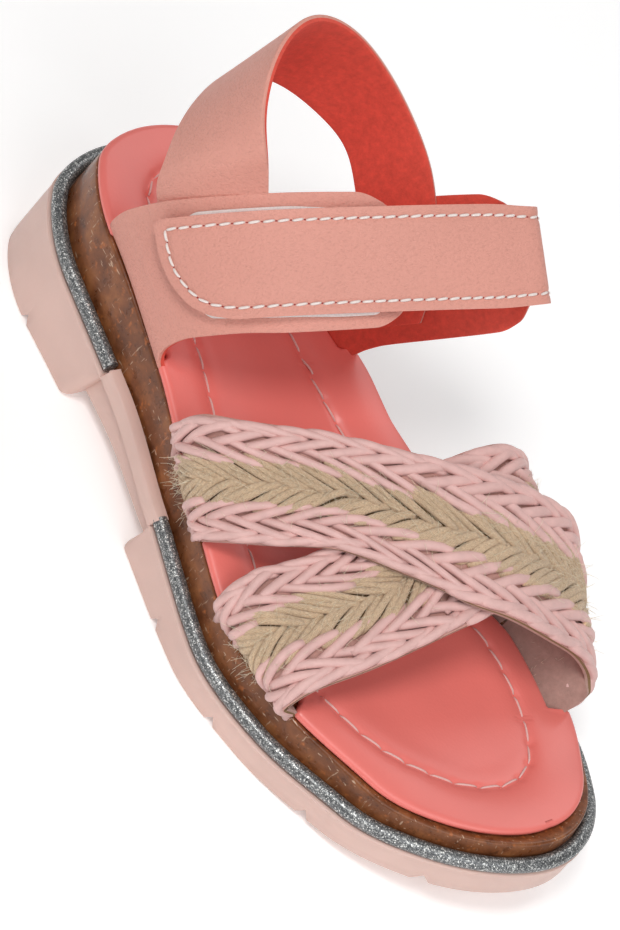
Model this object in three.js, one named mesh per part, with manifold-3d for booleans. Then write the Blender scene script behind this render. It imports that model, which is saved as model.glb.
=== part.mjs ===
// Child's sandal for the right foot: braided crossing vamp straps on a cork wedge with a moulded outsole.
// Millimetres. +X runs to the toe, +Y to the inner side of the foot, +Z up. The origin is on the floor
// under the heel seat.
import * as THREE from "three";
import { mergeVertices } from "three/addons/utils/BufferGeometryUtils.js";
import Module from "manifold-3d";

const wasm = await Module();
wasm.setup();

// Sole
const outsoleLength = 212;
const ballWidth = 88.2;
const heelWidth = 64;
const heelSeat = 20;
const heelHeight = 39.5;
const forefootHeight = 17;
const medialArch = 7.7;
const toeSpring = 11.5;
const heelSoleHeight = 25.5;
const forefootSoleHeight = 8.5;
const clearance = 0.3;

// Outsole
const wallDraft = 0.2;
const soleChamfer = 0.8;
const heelBlockLength = 52.5;
const heelBlockSlope = 4.5;
const forefootBlockStart = 93.5;
const forefootBlockSlope = 2.5;
const archGap = 5;
const waistStep = 3;
const lipStart = 56.5;
const lipEnd = 95.5;
const grooveDepth = 2.4;
const grooveHalfWidth = 1.6;

// Piping
const pipingDiameter = 3.8;
const pipingEdge = 0.2;
const lipRise = 1.3;

// Midsole and footbed
const corkDraft = 1;
const corkRound = 0.9;
const ledgeWidth = 0.4;
const toeLedgeWidth = 3.4;
const footbedThickness = 2.7;
const footbedRound = 1.9;
const heelCupDepth = 4;
const forefootCupDepth = 1.8;
const cupChangeStart = 60;
const cupChangeEnd = 110;
const rootDepth = 7;

// Braided vamp
const vampHeight = 42;
const braidThickness = 2.6;
const braidRelief = 1.2;
const braidPitch = 9.5;

// Instep band, heel strap and closure
const bandAlong = 42;
const bandTilt = 30;
const bandShear = 0.2;
const bandWidth = 33;
const bandHeight = 60.5;
const quarterThickness = 1.8;
const heelStrapRise = 63;
const heelStrapThickness = 1.8;
const closureWidth = 25;
const closureThickness = 1.8;
const tapeThickness = 1;
const tapeWidth = 23;

// Half width of the outsole as shares of heel width and ball width, and how far its middle swings to the
// inner side, as a share of ball width.
const outlineRows = [
  { at: 0, heel: 0, ball: 0, swing: 0 },
  { at: 0.04, heel: 0.347, ball: 0, swing: -0.003 },
  { at: 0.15, heel: 0.484, ball: 0, swing: 0 },
  { at: 0.3, heel: 0.3, ball: 0.145, swing: -0.019 },
  { at: 0.45, heel: 0.1, ball: 0.347, swing: -0.0385 },
  { at: 0.6, heel: 0, ball: 0.4626, swing: -0.0635 },
  { at: 0.72, heel: 0, ball: 0.5, swing: 0.0102 },
  { at: 0.84, heel: 0, ball: 0.458, swing: 0.0692 },
  { at: 0.93, heel: 0, ball: 0.331, swing: 0.085 },
  { at: 1, heel: 0, ball: 0, swing: 0.101 },
];

// Heights along the sole: shares of the heel's extra height and of the toe spring, for the cork rim and for
// the piping, and the share of the raised arch that the inner rim takes.
const heightRows = [
  { at: 0, rimHeel: 1, rimToe: 0, seamHeel: 1, seamToe: 0, arch: 0 },
  { at: 0.15, rimHeel: 0.85, rimToe: 0, seamHeel: 0.735, seamToe: 0, arch: 0 },
  { at: 0.3, rimHeel: 0.58, rimToe: 0, seamHeel: 0.53, seamToe: 0, arch: 0.55 },
  { at: 0.45, rimHeel: 0.307, rimToe: 0, seamHeel: 0.3235, seamToe: 0, arch: 1 },
  { at: 0.7, rimHeel: 0, rimToe: 0, seamHeel: 0, seamToe: 0, arch: 0.62 },
  { at: 0.85, rimHeel: 0, rimToe: 0.07, seamHeel: 0, seamToe: 0.26, arch: 0 },
  { at: 1, rimHeel: 0, rimToe: 0.887, seamHeel: 0, seamToe: 1.13, arch: 0 },
];
const toeSpringStart = 0.72;

// Cross grooves of the tread, as shares of the outsole's length
const grooveRows = [0.021, 0.14, 0.547, 0.677, 0.816, 0.94];

// The two vamp straps from the outer to the inner side. Along is a share of the outsole's length, across a
// share of the cork rim's half width there, and up a share of the vamp's height above the rim.
const overStrapRows = [
  { rearAlong: 0.384, rearAcross: -0.93, rearUp: -0.18, frontAlong: 0.505, frontAcross: -0.92, frontUp: -0.2 },
  { rearAlong: 0.384, rearAcross: -0.97, rearUp: 0.01, frontAlong: 0.507, frontAcross: -0.97, frontUp: -0.05 },
  { rearAlong: 0.391, rearAcross: -1.11, rearUp: 0.16, frontAlong: 0.517, frontAcross: -1.04, frontUp: 0.06 },
  { rearAlong: 0.41, rearAcross: -1.05, rearUp: 0.4, frontAlong: 0.538, frontAcross: -0.95, frontUp: 0.22 },
  { rearAlong: 0.443, rearAcross: -0.79, rearUp: 0.56, frontAlong: 0.566, frontAcross: -0.76, frontUp: 0.39 },
  { rearAlong: 0.481, rearAcross: -0.4, rearUp: 0.68, frontAlong: 0.608, frontAcross: -0.43, frontUp: 0.58 },
  { rearAlong: 0.517, rearAcross: -0.01, rearUp: 0.74, frontAlong: 0.665, frontAcross: -0.18, frontUp: 0.67 },
  { rearAlong: 0.559, rearAcross: 0.38, rearUp: 0.8, frontAlong: 0.722, frontAcross: -0.04, frontUp: 0.75 },
  { rearAlong: 0.594, rearAcross: 0.73, rearUp: 0.81, frontAlong: 0.757, frontAcross: 0.17, frontUp: 0.75 },
  { rearAlong: 0.63, rearAcross: 1.04, rearUp: 0.79, frontAlong: 0.785, frontAcross: 0.5, frontUp: 0.61 },
  { rearAlong: 0.66, rearAcross: 1.21, rearUp: 0.71, frontAlong: 0.809, frontAcross: 0.86, frontUp: 0.43 },
  { rearAlong: 0.686, rearAcross: 1.24, rearUp: 0.48, frontAlong: 0.828, frontAcross: 1.08, frontUp: 0.23 },
  { rearAlong: 0.705, rearAcross: 0.97, rearUp: 0.02, frontAlong: 0.83, frontAcross: 0.97, frontUp: 0.01 },
  { rearAlong: 0.703, rearAcross: 0.91, rearUp: -0.16, frontAlong: 0.828, frontAcross: 0.88, frontUp: -0.15 },
];
const underStrapRows = [
  { rearAlong: 0.587, rearAcross: -0.91, rearUp: -0.2, frontAlong: 0.738, frontAcross: -0.93, frontUp: -0.17 },
  { rearAlong: 0.585, rearAcross: -0.97, rearUp: -0.04, frontAlong: 0.738, frontAcross: -0.97, frontUp: 0 },
  { rearAlong: 0.578, rearAcross: -1.01, rearUp: 0.1, frontAlong: 0.736, frontAcross: -1.05, frontUp: 0.12 },
  { rearAlong: 0.573, rearAcross: -0.81, rearUp: 0.27, frontAlong: 0.733, frontAcross: -0.86, frontUp: 0.3 },
  { rearAlong: 0.583, rearAcross: -0.56, rearUp: 0.4, frontAlong: 0.736, frontAcross: -0.57, frontUp: 0.45 },
  { rearAlong: 0.587, rearAcross: -0.27, rearUp: 0.52, frontAlong: 0.737, frontAcross: -0.31, frontUp: 0.55 },
  { rearAlong: 0.568, rearAcross: 0.07, rearUp: 0.61, frontAlong: 0.738, frontAcross: -0.06, frontUp: 0.63 },
  { rearAlong: 0.554, rearAcross: 0.41, rearUp: 0.67, frontAlong: 0.738, frontAcross: 0.19, frontUp: 0.66 },
  { rearAlong: 0.557, rearAcross: 0.76, rearUp: 0.69, frontAlong: 0.731, frontAcross: 0.47, frontUp: 0.65 },
  { rearAlong: 0.566, rearAcross: 1.08, rearUp: 0.7, frontAlong: 0.724, frontAcross: 0.76, frontUp: 0.6 },
  { rearAlong: 0.58, rearAcross: 1.28, rearUp: 0.6, frontAlong: 0.717, frontAcross: 1, frontUp: 0.47 },
  { rearAlong: 0.592, rearAcross: 1.29, rearUp: 0.36, frontAlong: 0.712, frontAcross: 1.11, frontUp: 0.26 },
  { rearAlong: 0.59, rearAcross: 0.97, rearUp: -0.03, frontAlong: 0.703, frontAcross: 0.97, frontUp: -0.03 },
  { rearAlong: 0.59, rearAcross: 0.92, rearUp: -0.22, frontAlong: 0.7, frontAcross: 0.89, frontUp: -0.23 },
];

// Strips of the braid from the rear edge to the front edge: where each one ends across the strap, how proud
// it stands, and which way its plaits slant.
const braidStrips = [
  { to: 0.1, proud: 0.85, slant: 1 },
  { to: 0.2, proud: 0.85, slant: -1 },
  { to: 0.31, proud: 0.75, slant: 1 },
  { to: 0.5, proud: 1, slant: 1 },
  { to: 0.69, proud: 1, slant: -1 },
  { to: 0.8, proud: 0.75, slant: -1 },
  { to: 0.9, proud: 0.85, slant: 1 },
  { to: 1, proud: 0.85, slant: -1 },
];

// The instep band's path over the foot in its own tilted plane, from the outer to the inner rim: across as
// a share of the rim's half width under the band, and up as a share of the band's height.
const loopRows = [
  { across: -0.94, up: 0 },
  { across: -1.06, up: 0.2 },
  { across: -1.05, up: 0.397 },
  { across: -0.855, up: 0.57 },
  { across: -0.52, up: 0.7 },
  { across: 0.297, up: 0.851 },
  { across: 0.93, up: 0.934 },
  { across: 1.5, up: 0.985 },
  { across: 1.79, up: 0.99 },
  { across: 1.86, up: 0.93 },
  { across: 1.77, up: 0.85 },
  { across: 1.57, up: 0.765 },
  { across: 1.385, up: 0.65 },
  { across: 1.227, up: 0.463 },
  { across: 1.105, up: 0.248 },
  { across: 0.97, up: 0 },
];

// Pieces on the band. Turn is a share of the path's length, rear and front are shares of the piece's width.
const outerQuarterRows = [
  { turn: 0, rear: -0.35, front: 0.71 },
  { turn: 0.073, rear: -0.48, front: 0.54 },
  { turn: 0.135, rear: -0.5, front: 0.49 },
  { turn: 0.203, rear: -0.5, front: 0.485 },
  { turn: 0.27, rear: -0.5, front: 0.5 },
  { turn: 0.38, rear: -0.49, front: 0.49 },
  { turn: 0.417, rear: -0.4, front: 0.4 },
  { turn: 0.437, rear: -0.2, front: 0.2 },
];
const innerQuarterRows = [
  { turn: 0.66, rear: -0.3, front: 0.33 },
  { turn: 0.678, rear: -0.42, front: 0.46 },
  { turn: 0.71, rear: -0.49, front: 0.53 },
  { turn: 0.787, rear: -0.5, front: 0.55 },
  { turn: 0.865, rear: -0.5, front: 0.56 },
  { turn: 0.932, rear: -0.48, front: 0.59 },
  { turn: 1, rear: -0.36, front: 0.65 },
];
const closureRows = [
  { turn: 0.109, rear: -0.47, front: -0.15 },
  { turn: 0.121, rear: -0.5, front: 0.12 },
  { turn: 0.145, rear: -0.5, front: 0.33 },
  { turn: 0.174, rear: -0.5, front: 0.46 },
  { turn: 0.21, rear: -0.5, front: 0.5 },
  { turn: 0.55, rear: -0.5, front: 0.5 },
  { turn: 0.66, rear: -0.46, front: 0.46 },
  { turn: 0.787, rear: -0.46, front: 0.46 },
  { turn: 0.816, rear: -0.38, front: 0.38 },
];
const tapeRows = [
  { turn: 0.15, rear: -0.46, front: 0.36 },
  { turn: 0.175, rear: -0.54, front: 0.5 },
  { turn: 0.37, rear: -0.54, front: 0.55 },
  { turn: 0.388, rear: -0.5, front: 0.5 },
];

// The heel strap. Its two ends lie inside the quarters and are placed on the band's path, between them it
// is free: along as a share of the outsole's length, across as a share of heel width, and up as a share of
// its rise above the heel's rim.
const outerTabRows = [
  { lowTurn: 0.164, highTurn: 0.208, place: 0.36 },
  { lowTurn: 0.13, highTurn: 0.237, place: 0.22 },
  { lowTurn: 0.11, highTurn: 0.256, place: -0.1 },
  { lowTurn: 0.098, highTurn: 0.269, place: -0.56 },
];
const heelStrapRows = [
  { lowAlong: 0.146, lowAcross: -0.43, lowUp: 0.41, highAlong: 0.226, highAcross: -0.32, highUp: 0.78 },
  { lowAlong: 0.118, lowAcross: -0.362, lowUp: 0.5, highAlong: 0.189, highAcross: -0.355, highUp: 0.9 },
  { lowAlong: 0.088, lowAcross: -0.21, lowUp: 0.55, highAlong: 0.138, highAcross: -0.27, highUp: 1 },
  { lowAlong: 0.067, lowAcross: 0.015, lowUp: 0.56, highAlong: 0.095, highAcross: 0.015, highUp: 1 },
  { lowAlong: 0.084, lowAcross: 0.225, lowUp: 0.52, highAlong: 0.112, highAcross: 0.27, highUp: 0.94 },
  { lowAlong: 0.125, lowAcross: 0.365, lowUp: 0.47, highAlong: 0.158, highAcross: 0.445, highUp: 0.85 },
  { lowAlong: 0.172, lowAcross: 0.455, lowUp: 0.41, highAlong: 0.212, highAcross: 0.54, highUp: 0.73 },
];
const innerTabRows = [
  { lowTurn: 0.9, highTurn: 0.758, place: -0.56 },
  { lowTurn: 0.887, highTurn: 0.77, place: -0.1 },
  { lowTurn: 0.875, highTurn: 0.782, place: 0.2 },
  { lowTurn: 0.855, highTurn: 0.807, place: 0.42 },
];

// Smooth curve through a table's column that never swings past its rows
function columnCurve(xs, ys) {
  const slopes = xs.map(() => 0);
  const steps = xs.slice(1).map((x, i) => (ys[i + 1] - ys[i]) / (x - xs[i]));
  slopes[0] = steps[0];
  slopes[xs.length - 1] = steps[steps.length - 1];
  for (let i = 1; i < xs.length - 1; i += 1) {
    const [before, after] = [steps[i - 1], steps[i]];
    slopes[i] = before * after <= 0 ? 0 : (2 * before * after) / (before + after);
  }
  return (x) => {
    let i = 0;
    while (i < xs.length - 2 && x > xs[i + 1]) i += 1;
    const span = xs[i + 1] - xs[i];
    const t = THREE.MathUtils.clamp((x - xs[i]) / span, 0, 1);
    const rise = t * t * (3 - 2 * t);
    const lead = t * (1 - t) * (1 - t) * span * slopes[i];
    const trail = t * t * (1 - t) * span * slopes[i + 1];
    return ys[i] + (ys[i + 1] - ys[i]) * rise + lead - trail;
  };
}

// Outline and heights of the sole. A turn runs from 0 at the heel's back to 1 at the toe's tip, and spaces
// stations closely where the ends are round. Lengths along are measured from the heel's back.
const turnOf = (at) => Math.acos(1 - 2 * at) / Math.PI;
const alongOf = (turn) => (outsoleLength * (1 - Math.cos(Math.PI * turn))) / 2;
const outlineTurns = outlineRows.map((row) => turnOf(row.at));
const halfWidths = outlineRows.map((row) => row.heel * heelWidth + row.ball * ballWidth);
const halfAtTurn = columnCurve(outlineTurns, halfWidths);
const swings = outlineRows.map((row) => row.swing * ballWidth);
const swingAtTurn = columnCurve(outlineTurns, swings);
const heightAts = heightRows.map((row) => row.at);
const heelExtra = heelHeight - forefootHeight;
const seamExtra = heelSoleHeight - forefootSoleHeight;
const rims = heightRows.map((row) => forefootHeight + row.rimHeel * heelExtra + row.rimToe * toeSpring);
const seams = heightRows.map((row) => forefootSoleHeight + row.seamHeel * seamExtra + row.seamToe * toeSpring);
const rimCurve = columnCurve(heightAts, rims);
const seamCurve = columnCurve(heightAts, seams);
const archCurve = columnCurve(heightAts, heightRows.map((row) => row.arch * medialArch));
const shareAlong = (along) => THREE.MathUtils.clamp(along / outsoleLength, 0, 1);
const halfAt = (along) => halfAtTurn(turnOf(shareAlong(along)));
const swingAt = (along) => swingAtTurn(turnOf(shareAlong(along)));
const pipingHeight = (along) => seamCurve(shareAlong(along));
const pipingInset = pipingEdge + pipingDiameter / 2;
const corkInset = pipingEdge + pipingDiameter + clearance;
const rimInset = corkInset + corkDraft;
const rimHalfAt = (along) => halfAt(along) - rimInset;

function groundHeight(along) {
  const past = Math.max(0, (shareAlong(along) - toeSpringStart) / (1 - toeSpringStart));
  return toeSpring * past * past;
}

function acrossShare(along, y) {
  return THREE.MathUtils.clamp((y - swingAt(along)) / Math.max(1, rimHalfAt(along)), -1, 1);
}

function rimHeight(along, y) {
  const inner = (acrossShare(along, y) + 1) / 2;
  return rimCurve(shareAlong(along)) + archCurve(shareAlong(along)) * inner * inner * (3 - 2 * inner);
}

// Top of the cork: its rim, dished under the foot, deepest at the heel
function corkTopHeight(along, y) {
  const share = acrossShare(along, y);
  const change = THREE.MathUtils.smoothstep(along, cupChangeStart, cupChangeEnd);
  const depth = THREE.MathUtils.lerp(heelCupDepth, forefootCupDepth, change);
  const ends = Math.sqrt(Math.sin(Math.PI * shareAlong(along)));
  return rimHeight(along, y) - depth * (1 - share * share) * ends;
}

function outlineRaw(turn, side) {
  const flipped = turn < 0 || turn > 1;
  const inside = turn < 0 ? -turn : turn > 1 ? 2 - turn : turn;
  const across = (flipped ? -side : side) * halfAtTurn(inside);
  return new THREE.Vector2(alongOf(inside), swingAtTurn(inside) + across);
}

// Point of the outline moved inward by an inset, with side -1 outer and 1 inner
function outlinePoint(turn, side, inset) {
  const step = 0.004;
  const ahead = outlineRaw(turn + step, side);
  const behind = outlineRaw(turn - step, side);
  const way = ahead.sub(behind).normalize();
  const inward = new THREE.Vector2(-way.y, way.x).multiplyScalar(-side);
  return outlineRaw(turn, side).addScaledVector(inward, inset);
}

// Closed solids are gathered as triangles of points, then merged and turned to face outward
function pushQuad(triangles, a, b, c, d) {
  triangles.push([a, b, c], [a, c, d]);
}

function pushGrid(triangles, grid, flip) {
  for (let i = 0; i < grid.length - 1; i += 1) {
    for (let j = 0; j < grid[i].length - 1; j += 1) {
      const corners = [grid[i][j], grid[i + 1][j], grid[i + 1][j + 1], grid[i][j + 1]];
      pushQuad(triangles, ...(flip ? corners.reverse() : corners));
    }
  }
}

// Strip between two lines of points with different counts
function pushBridge(triangles, first, second) {
  let i = 0;
  let j = 0;
  while (i < first.length - 1 || j < second.length - 1) {
    const nextFirst = (i + 1) / (first.length - 1);
    const nextSecond = (j + 1) / (second.length - 1);
    if (j === second.length - 1 || (i < first.length - 1 && nextFirst <= nextSecond)) {
      triangles.push([first[i], first[i + 1], second[j]]);
      i += 1;
    } else {
      triangles.push([first[i], second[j + 1], second[j]]);
      j += 1;
    }
  }
}

function solidFrom(geometry) {
  const plain = new THREE.BufferGeometry();
  plain.setAttribute("position", geometry.getAttribute("position").clone());
  if (geometry.index) plain.setIndex(geometry.index.clone());
  const merged = mergeVertices(plain, 1e-4);
  const index = merged.index.array;
  const kept = [];
  for (let i = 0; i < index.length; i += 3) {
    const [a, b, c] = [index[i], index[i + 1], index[i + 2]];
    if (a !== b && b !== c && c !== a) kept.push(a, b, c);
  }
  const vertProperties = Float32Array.from(merged.getAttribute("position").array);
  return new wasm.Manifold(new wasm.Mesh({ numProp: 3, vertProperties, triVerts: Uint32Array.from(kept) }));
}

function solidFromTriangles(triangles) {
  let volume = 0;
  const scratch = new THREE.Vector3();
  for (const [a, b, c] of triangles) volume += a.dot(scratch.crossVectors(b, c));
  const outward = volume > 0 ? triangles : triangles.map(([a, b, c]) => [a, c, b]);
  const geometry = new THREE.BufferGeometry();
  geometry.setFromPoints(outward.flat());
  return solidFrom(geometry);
}

// Solid between two grids with the same number of rows, one wall's inner and outer face
function wallSolid(inner, outer) {
  const triangles = [];
  const last = inner.length - 1;
  pushGrid(triangles, outer, false);
  pushGrid(triangles, inner, true);
  for (let i = 0; i < last; i += 1) {
    const [a, b] = [inner[i], inner[i + 1]];
    const [c, d] = [outer[i], outer[i + 1]];
    pushQuad(triangles, c[0], a[0], b[0], d[0]);
    pushQuad(triangles, a[a.length - 1], c[c.length - 1], d[d.length - 1], b[b.length - 1]);
  }
  pushBridge(triangles, outer[0], inner[0]);
  pushBridge(triangles, inner[last], outer[last]);
  return solidFromTriangles(triangles);
}

const place = (along, y, z) => new THREE.Vector3(along - heelSeat, y, z);

// Loft of the sole's outline through levels from bottom to top, closed by a bottom and a top grid
const soleStations = 32;
function soleSolid(levels, bottomColumns, topColumns) {
  const ring = (level, side) => {
    const points = [];
    for (let i = 0; i <= soleStations; i += 1) {
      const turn = i / soleStations;
      const inset = typeof level.inset === "function" ? level.inset(turn) : level.inset;
      const point = outlinePoint(turn, side, inset);
      points.push(place(point.x, point.y, level.height(point.x, point.y)));
    }
    return points;
  };
  const rings = levels.map((level) => ({ outer: ring(level, -1), inner: ring(level, 1) }));
  const triangles = [];
  for (let k = 0; k < rings.length - 1; k += 1) {
    pushGrid(triangles, [rings[k].outer, rings[k + 1].outer], true);
    pushGrid(triangles, [rings[k].inner, rings[k + 1].inner], false);
  }
  const cap = (level, edges, columns) => edges.outer.map((start, i) => {
    const row = [];
    for (let j = 0; j <= columns; j += 1) {
      const point = start.clone().lerp(edges.inner[i], j / columns);
      if (j > 0 && j < columns) point.z = level.height(point.x + heelSeat, point.y);
      row.push(point);
    }
    return row;
  });
  pushGrid(triangles, cap(levels[0], rings[0], bottomColumns), true);
  pushGrid(triangles, cap(levels[levels.length - 1], rings[rings.length - 1], topColumns), false);
  return solidFromTriangles(triangles);
}

// Prism across the whole shoe from a side profile of (along, height) corners
function crossPrism(corners) {
  const shape = new THREE.Shape(corners.map(([along, z]) => new THREE.Vector2(along - heelSeat, z)));
  const geometry = new THREE.ExtrudeGeometry(shape, { depth: 2 * ballWidth, bevelEnabled: false });
  geometry.rotateX(Math.PI / 2);
  geometry.translate(0, ballWidth, 0);
  return solidFrom(geometry);
}

const outsoleTop = (along) => pipingHeight(along) - pipingDiameter / 2 - clearance;

function outsoleSolid() {
  const levels = [
    { inset: wallDraft + soleChamfer, height: groundHeight },
    { inset: wallDraft, height: (along) => groundHeight(along) + soleChamfer },
    { inset: 0, height: (along) => outsoleTop(along) - soleChamfer },
    { inset: pipingEdge, height: outsoleTop },
  ];
  let body = soleSolid(levels, 2, 2);
  const lipUnderside = (along) => outsoleTop(along) - soleChamfer;
  const archEnds = [heelBlockLength, forefootBlockStart];
  const below = -soleChamfer;
  body = body.subtract(crossPrism([
    [archEnds[0] + heelBlockSlope * (below / heelSoleHeight), below],
    [archEnds[1], below],
    [archEnds[1], archGap],
    [archEnds[0] + heelBlockSlope * (archGap / outsoleTop(archEnds[0])), archGap],
  ]));
  const waistColumn = soleSolid([
    { inset: waistStep, height: () => -2 * heelHeight },
    { inset: waistStep, height: () => 2 * heelHeight },
  ], 2, 2);
  const waistZone = crossPrism([
    [archEnds[0] + heelBlockSlope * (below / heelSoleHeight), below],
    [archEnds[1], below],
    [archEnds[1] + forefootBlockSlope, lipUnderside(archEnds[1] + forefootBlockSlope)],
    [archEnds[0] + heelBlockSlope, lipUnderside(archEnds[0] + heelBlockSlope)],
  ]);
  body = body.subtract(waistZone.subtract(waistColumn));
  for (const at of grooveRows) {
    const along = at * outsoleLength;
    const floor = groundHeight(along);
    body = body.subtract(crossPrism([
      [along - grooveHalfWidth, floor - grooveDepth],
      [along + grooveHalfWidth, floor - grooveDepth],
      [along + grooveHalfWidth, floor],
      [along, floor + grooveDepth],
      [along - grooveHalfWidth, floor],
    ]));
  }
  for (const side of [-1, 1]) body = body.add(lipSolid(side));
  return body;
}

// Low lip that takes the piping's place along the waist
function lipSolid(side) {
  const steps = 8;
  const columns = { inner: [], outer: [] };
  for (let i = 0; i <= steps; i += 1) {
    const along = THREE.MathUtils.lerp(lipStart, lipEnd, i / steps);
    const turn = turnOf(along / outsoleLength);
    for (const [name, inset] of [["outer", pipingEdge], ["inner", pipingEdge + pipingDiameter]]) {
      const point = outlinePoint(turn, side, inset);
      const low = outsoleTop(point.x) - soleChamfer / 2;
      const high = pipingHeight(point.x) + lipRise;
      columns[name].push([place(point.x, point.y, low), place(point.x, point.y, high)]);
    }
  }
  return wallSolid(columns.inner, columns.outer);
}

// Piping from the outer to the inner side round one end of the sole, between two turns of the outline
function pipingSolid(fromTurn, endTurn, steps) {
  const points = [];
  for (let i = 0; i <= steps; i += 1) {
    const sweep = THREE.MathUtils.lerp(-1, 1, i / steps);
    const side = sweep < 0 ? -1 : 1;
    const turn = THREE.MathUtils.lerp(endTurn, fromTurn, Math.abs(sweep));
    const point = outlinePoint(turn, side, pipingInset);
    points.push(place(point.x, point.y, pipingHeight(point.x)));
  }
  const path = new THREE.CatmullRomCurve3(points, false, "centripetal");
  const section = new THREE.Shape();
  section.absarc(0, 0, pipingDiameter / 2, 0, 2 * Math.PI);
  const options = { steps, bevelEnabled: false, extrudePath: path, curveSegments: 4 };
  return solidFrom(new THREE.ExtrudeGeometry(section, options));
}

const footbedInset = (turn) => {
  const toe = THREE.MathUtils.smoothstep(turn, 0.7, 1);
  return rimInset + THREE.MathUtils.lerp(ledgeWidth, toeLedgeWidth, toe);
};

function corkSolid() {
  const bottom = (along) => outsoleTop(along) + clearance;
  const levels = [
    { inset: corkInset, height: bottom },
    { inset: corkInset, height: (along) => pipingHeight(along) + pipingDiameter / 2 },
    { inset: rimInset - corkRound / 2, height: (along, y) => rimHeight(along, y) - corkRound },
    { inset: rimInset + corkRound / 2, height: (along, y) => rimHeight(along, y) },
    { inset: (turn) => footbedInset(turn) + footbedRound / 3, height: corkTopHeight },
  ];
  return soleSolid(levels, 2, 6);
}

function footbedSolid() {
  const at = (lift) => (along, y) => corkTopHeight(along, y) + clearance + lift;
  const levels = [
    { inset: (turn) => footbedInset(turn) + footbedRound / 3, height: at(0) },
    { inset: footbedInset, height: at(footbedThickness * 0.4) },
    { inset: (turn) => footbedInset(turn) + footbedRound / 3, height: at(footbedThickness * 0.85) },
    { inset: (turn) => footbedInset(turn) + footbedRound, height: at(footbedThickness) },
  ];
  return soleSolid(levels, 6, 8);
}

// Face normals of a grid of points, turned so that they point away from the foot
function gridNormals(grid, away) {
  const rows = grid.length - 1;
  return grid.map((row, i) => row.map((point, j) => {
    const columns = row.length - 1;
    const down = grid[Math.max(0, i - 1)][j];
    const up = grid[Math.min(rows, i + 1)][j];
    const left = row[Math.max(0, j - 1)];
    const right = row[Math.min(columns, j + 1)];
    const lengthwise = up.clone().sub(down);
    return lengthwise.cross(right.clone().sub(left)).normalize().multiplyScalar(away);
  }));
}

const offsetGrid = (grid, normals, offset) => grid.map((row, i) => row.map((point, j) => {
  const amount = typeof offset === "function" ? offset(i, j) : offset;
  return point.clone().addScaledVector(normals[i][j], amount);
}));

// One vamp strap. Its outer face without relief passes through the table's points, and its wall hangs
// inside that face. Grown makes the pocket that its roots stand in.
const strapRowsAlong = 42;
const stripColumns = 2;
const pocketReach = 0.2;
const pocketGrow = 0.03;

function vampPoint(along, across, up) {
  const x = along * outsoleLength;
  const y = swingAt(x) + across * rimHalfAt(x);
  return place(x, y, rimHeight(x, y) + up * vampHeight);
}

function strapLines(rows) {
  const rear = rows.map((row) => vampPoint(row.rearAlong, row.rearAcross, row.rearUp));
  const front = rows.map((row) => vampPoint(row.frontAlong, row.frontAcross, row.frontUp));
  return [rear, front].map((points) => new THREE.CatmullRomCurve3(points, false, "catmullrom", 0.5));
}

function strapGrid(rows, places, fromShare, toShare, steps) {
  const [rear, front] = strapLines(rows);
  const grid = [];
  for (let i = 0; i <= steps; i += 1) {
    const t = THREE.MathUtils.lerp(fromShare, toShare, i / steps);
    const [a, b] = [rear.getPoint(t), front.getPoint(t)];
    grid.push(places.map((share) => a.clone().lerp(b, share)));
  }
  return grid;
}

function braidPlaces() {
  const places = [0];
  let from = 0;
  for (const strip of braidStrips) {
    for (let k = 1; k <= stripColumns; k += 1) {
      places.push(THREE.MathUtils.lerp(from, strip.to, k / stripColumns));
    }
    from = strip.to;
  }
  return places;
}

function braidHeight(length, column) {
  const strip = braidStrips[Math.floor(Math.max(0, column - 1) / stripColumns)];
  const onRidge = column % stripColumns === 1;
  const wave = 0.5 + 0.5 * Math.cos((2 * Math.PI * length) / braidPitch + (strip.slant * Math.PI) / 3);
  return onRidge ? strip.proud * (0.7 + 0.3 * wave) * braidRelief : 0.12 * wave * braidRelief;
}

function vampStrapSolid(rows) {
  const grid = strapGrid(rows, braidPlaces(), 0, 1, strapRowsAlong);
  const normals = gridNormals(grid, -1);
  const lengths = [0];
  for (let i = 1; i < grid.length; i += 1) {
    const middle = Math.floor(grid[i].length / 2);
    lengths.push(lengths[i - 1] + grid[i][middle].distanceTo(grid[i - 1][middle]));
  }
  const relief = (i, j) => braidHeight(lengths[i], j) - braidRelief;
  const outer = offsetGrid(grid, normals, relief);
  const plain = strapGrid(rows, [0, 0.5, 1], 0, 1, strapRowsAlong);
  const inner = offsetGrid(plain, gridNormals(plain, -1), -braidRelief - braidThickness);
  return wallSolid(inner, outer);
}

function vampPocket(rows, atStart) {
  const [from, to] = atStart ? [0, pocketReach] : [1 - pocketReach, 1];
  const grid = strapGrid(rows, [-pocketGrow, 0.25, 0.5, 0.75, 1 + pocketGrow], from, to, 8);
  const deepest = atStart ? 0 : grid.length - 1;
  for (const point of grid[deepest]) point.z -= 2 * clearance;
  const normals = gridNormals(grid, -1);
  const depth = braidRelief + braidThickness + 2 * clearance;
  return wallSolid(offsetGrid(grid, normals, -depth), offsetGrid(grid, normals, 2 * clearance));
}

// The instep band's surface: turn is the share of the path's length, width the distance to the front, and
// out the distance outside the quarters' outer face.
const bandHalf = rimHalfAt(bandAlong);
const tilt = THREE.MathUtils.degToRad(bandTilt);
const loopCurve = new THREE.CatmullRomCurve3(
  loopRows.map((row) => new THREE.Vector3(row.across * bandHalf, row.up * bandHeight, 0)),
  false,
  "centripetal",
);
const loopLength = loopCurve.getLength();
const bandBase = rimHeight(bandAlong, -bandHalf);
const rimReach = 0.13;

function bandAlongAt(across, up, width) {
  const shear = bandShear * (across + bandHalf);
  return bandAlong + up * Math.sin(tilt) + width * Math.cos(tilt) + shear;
}

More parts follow.
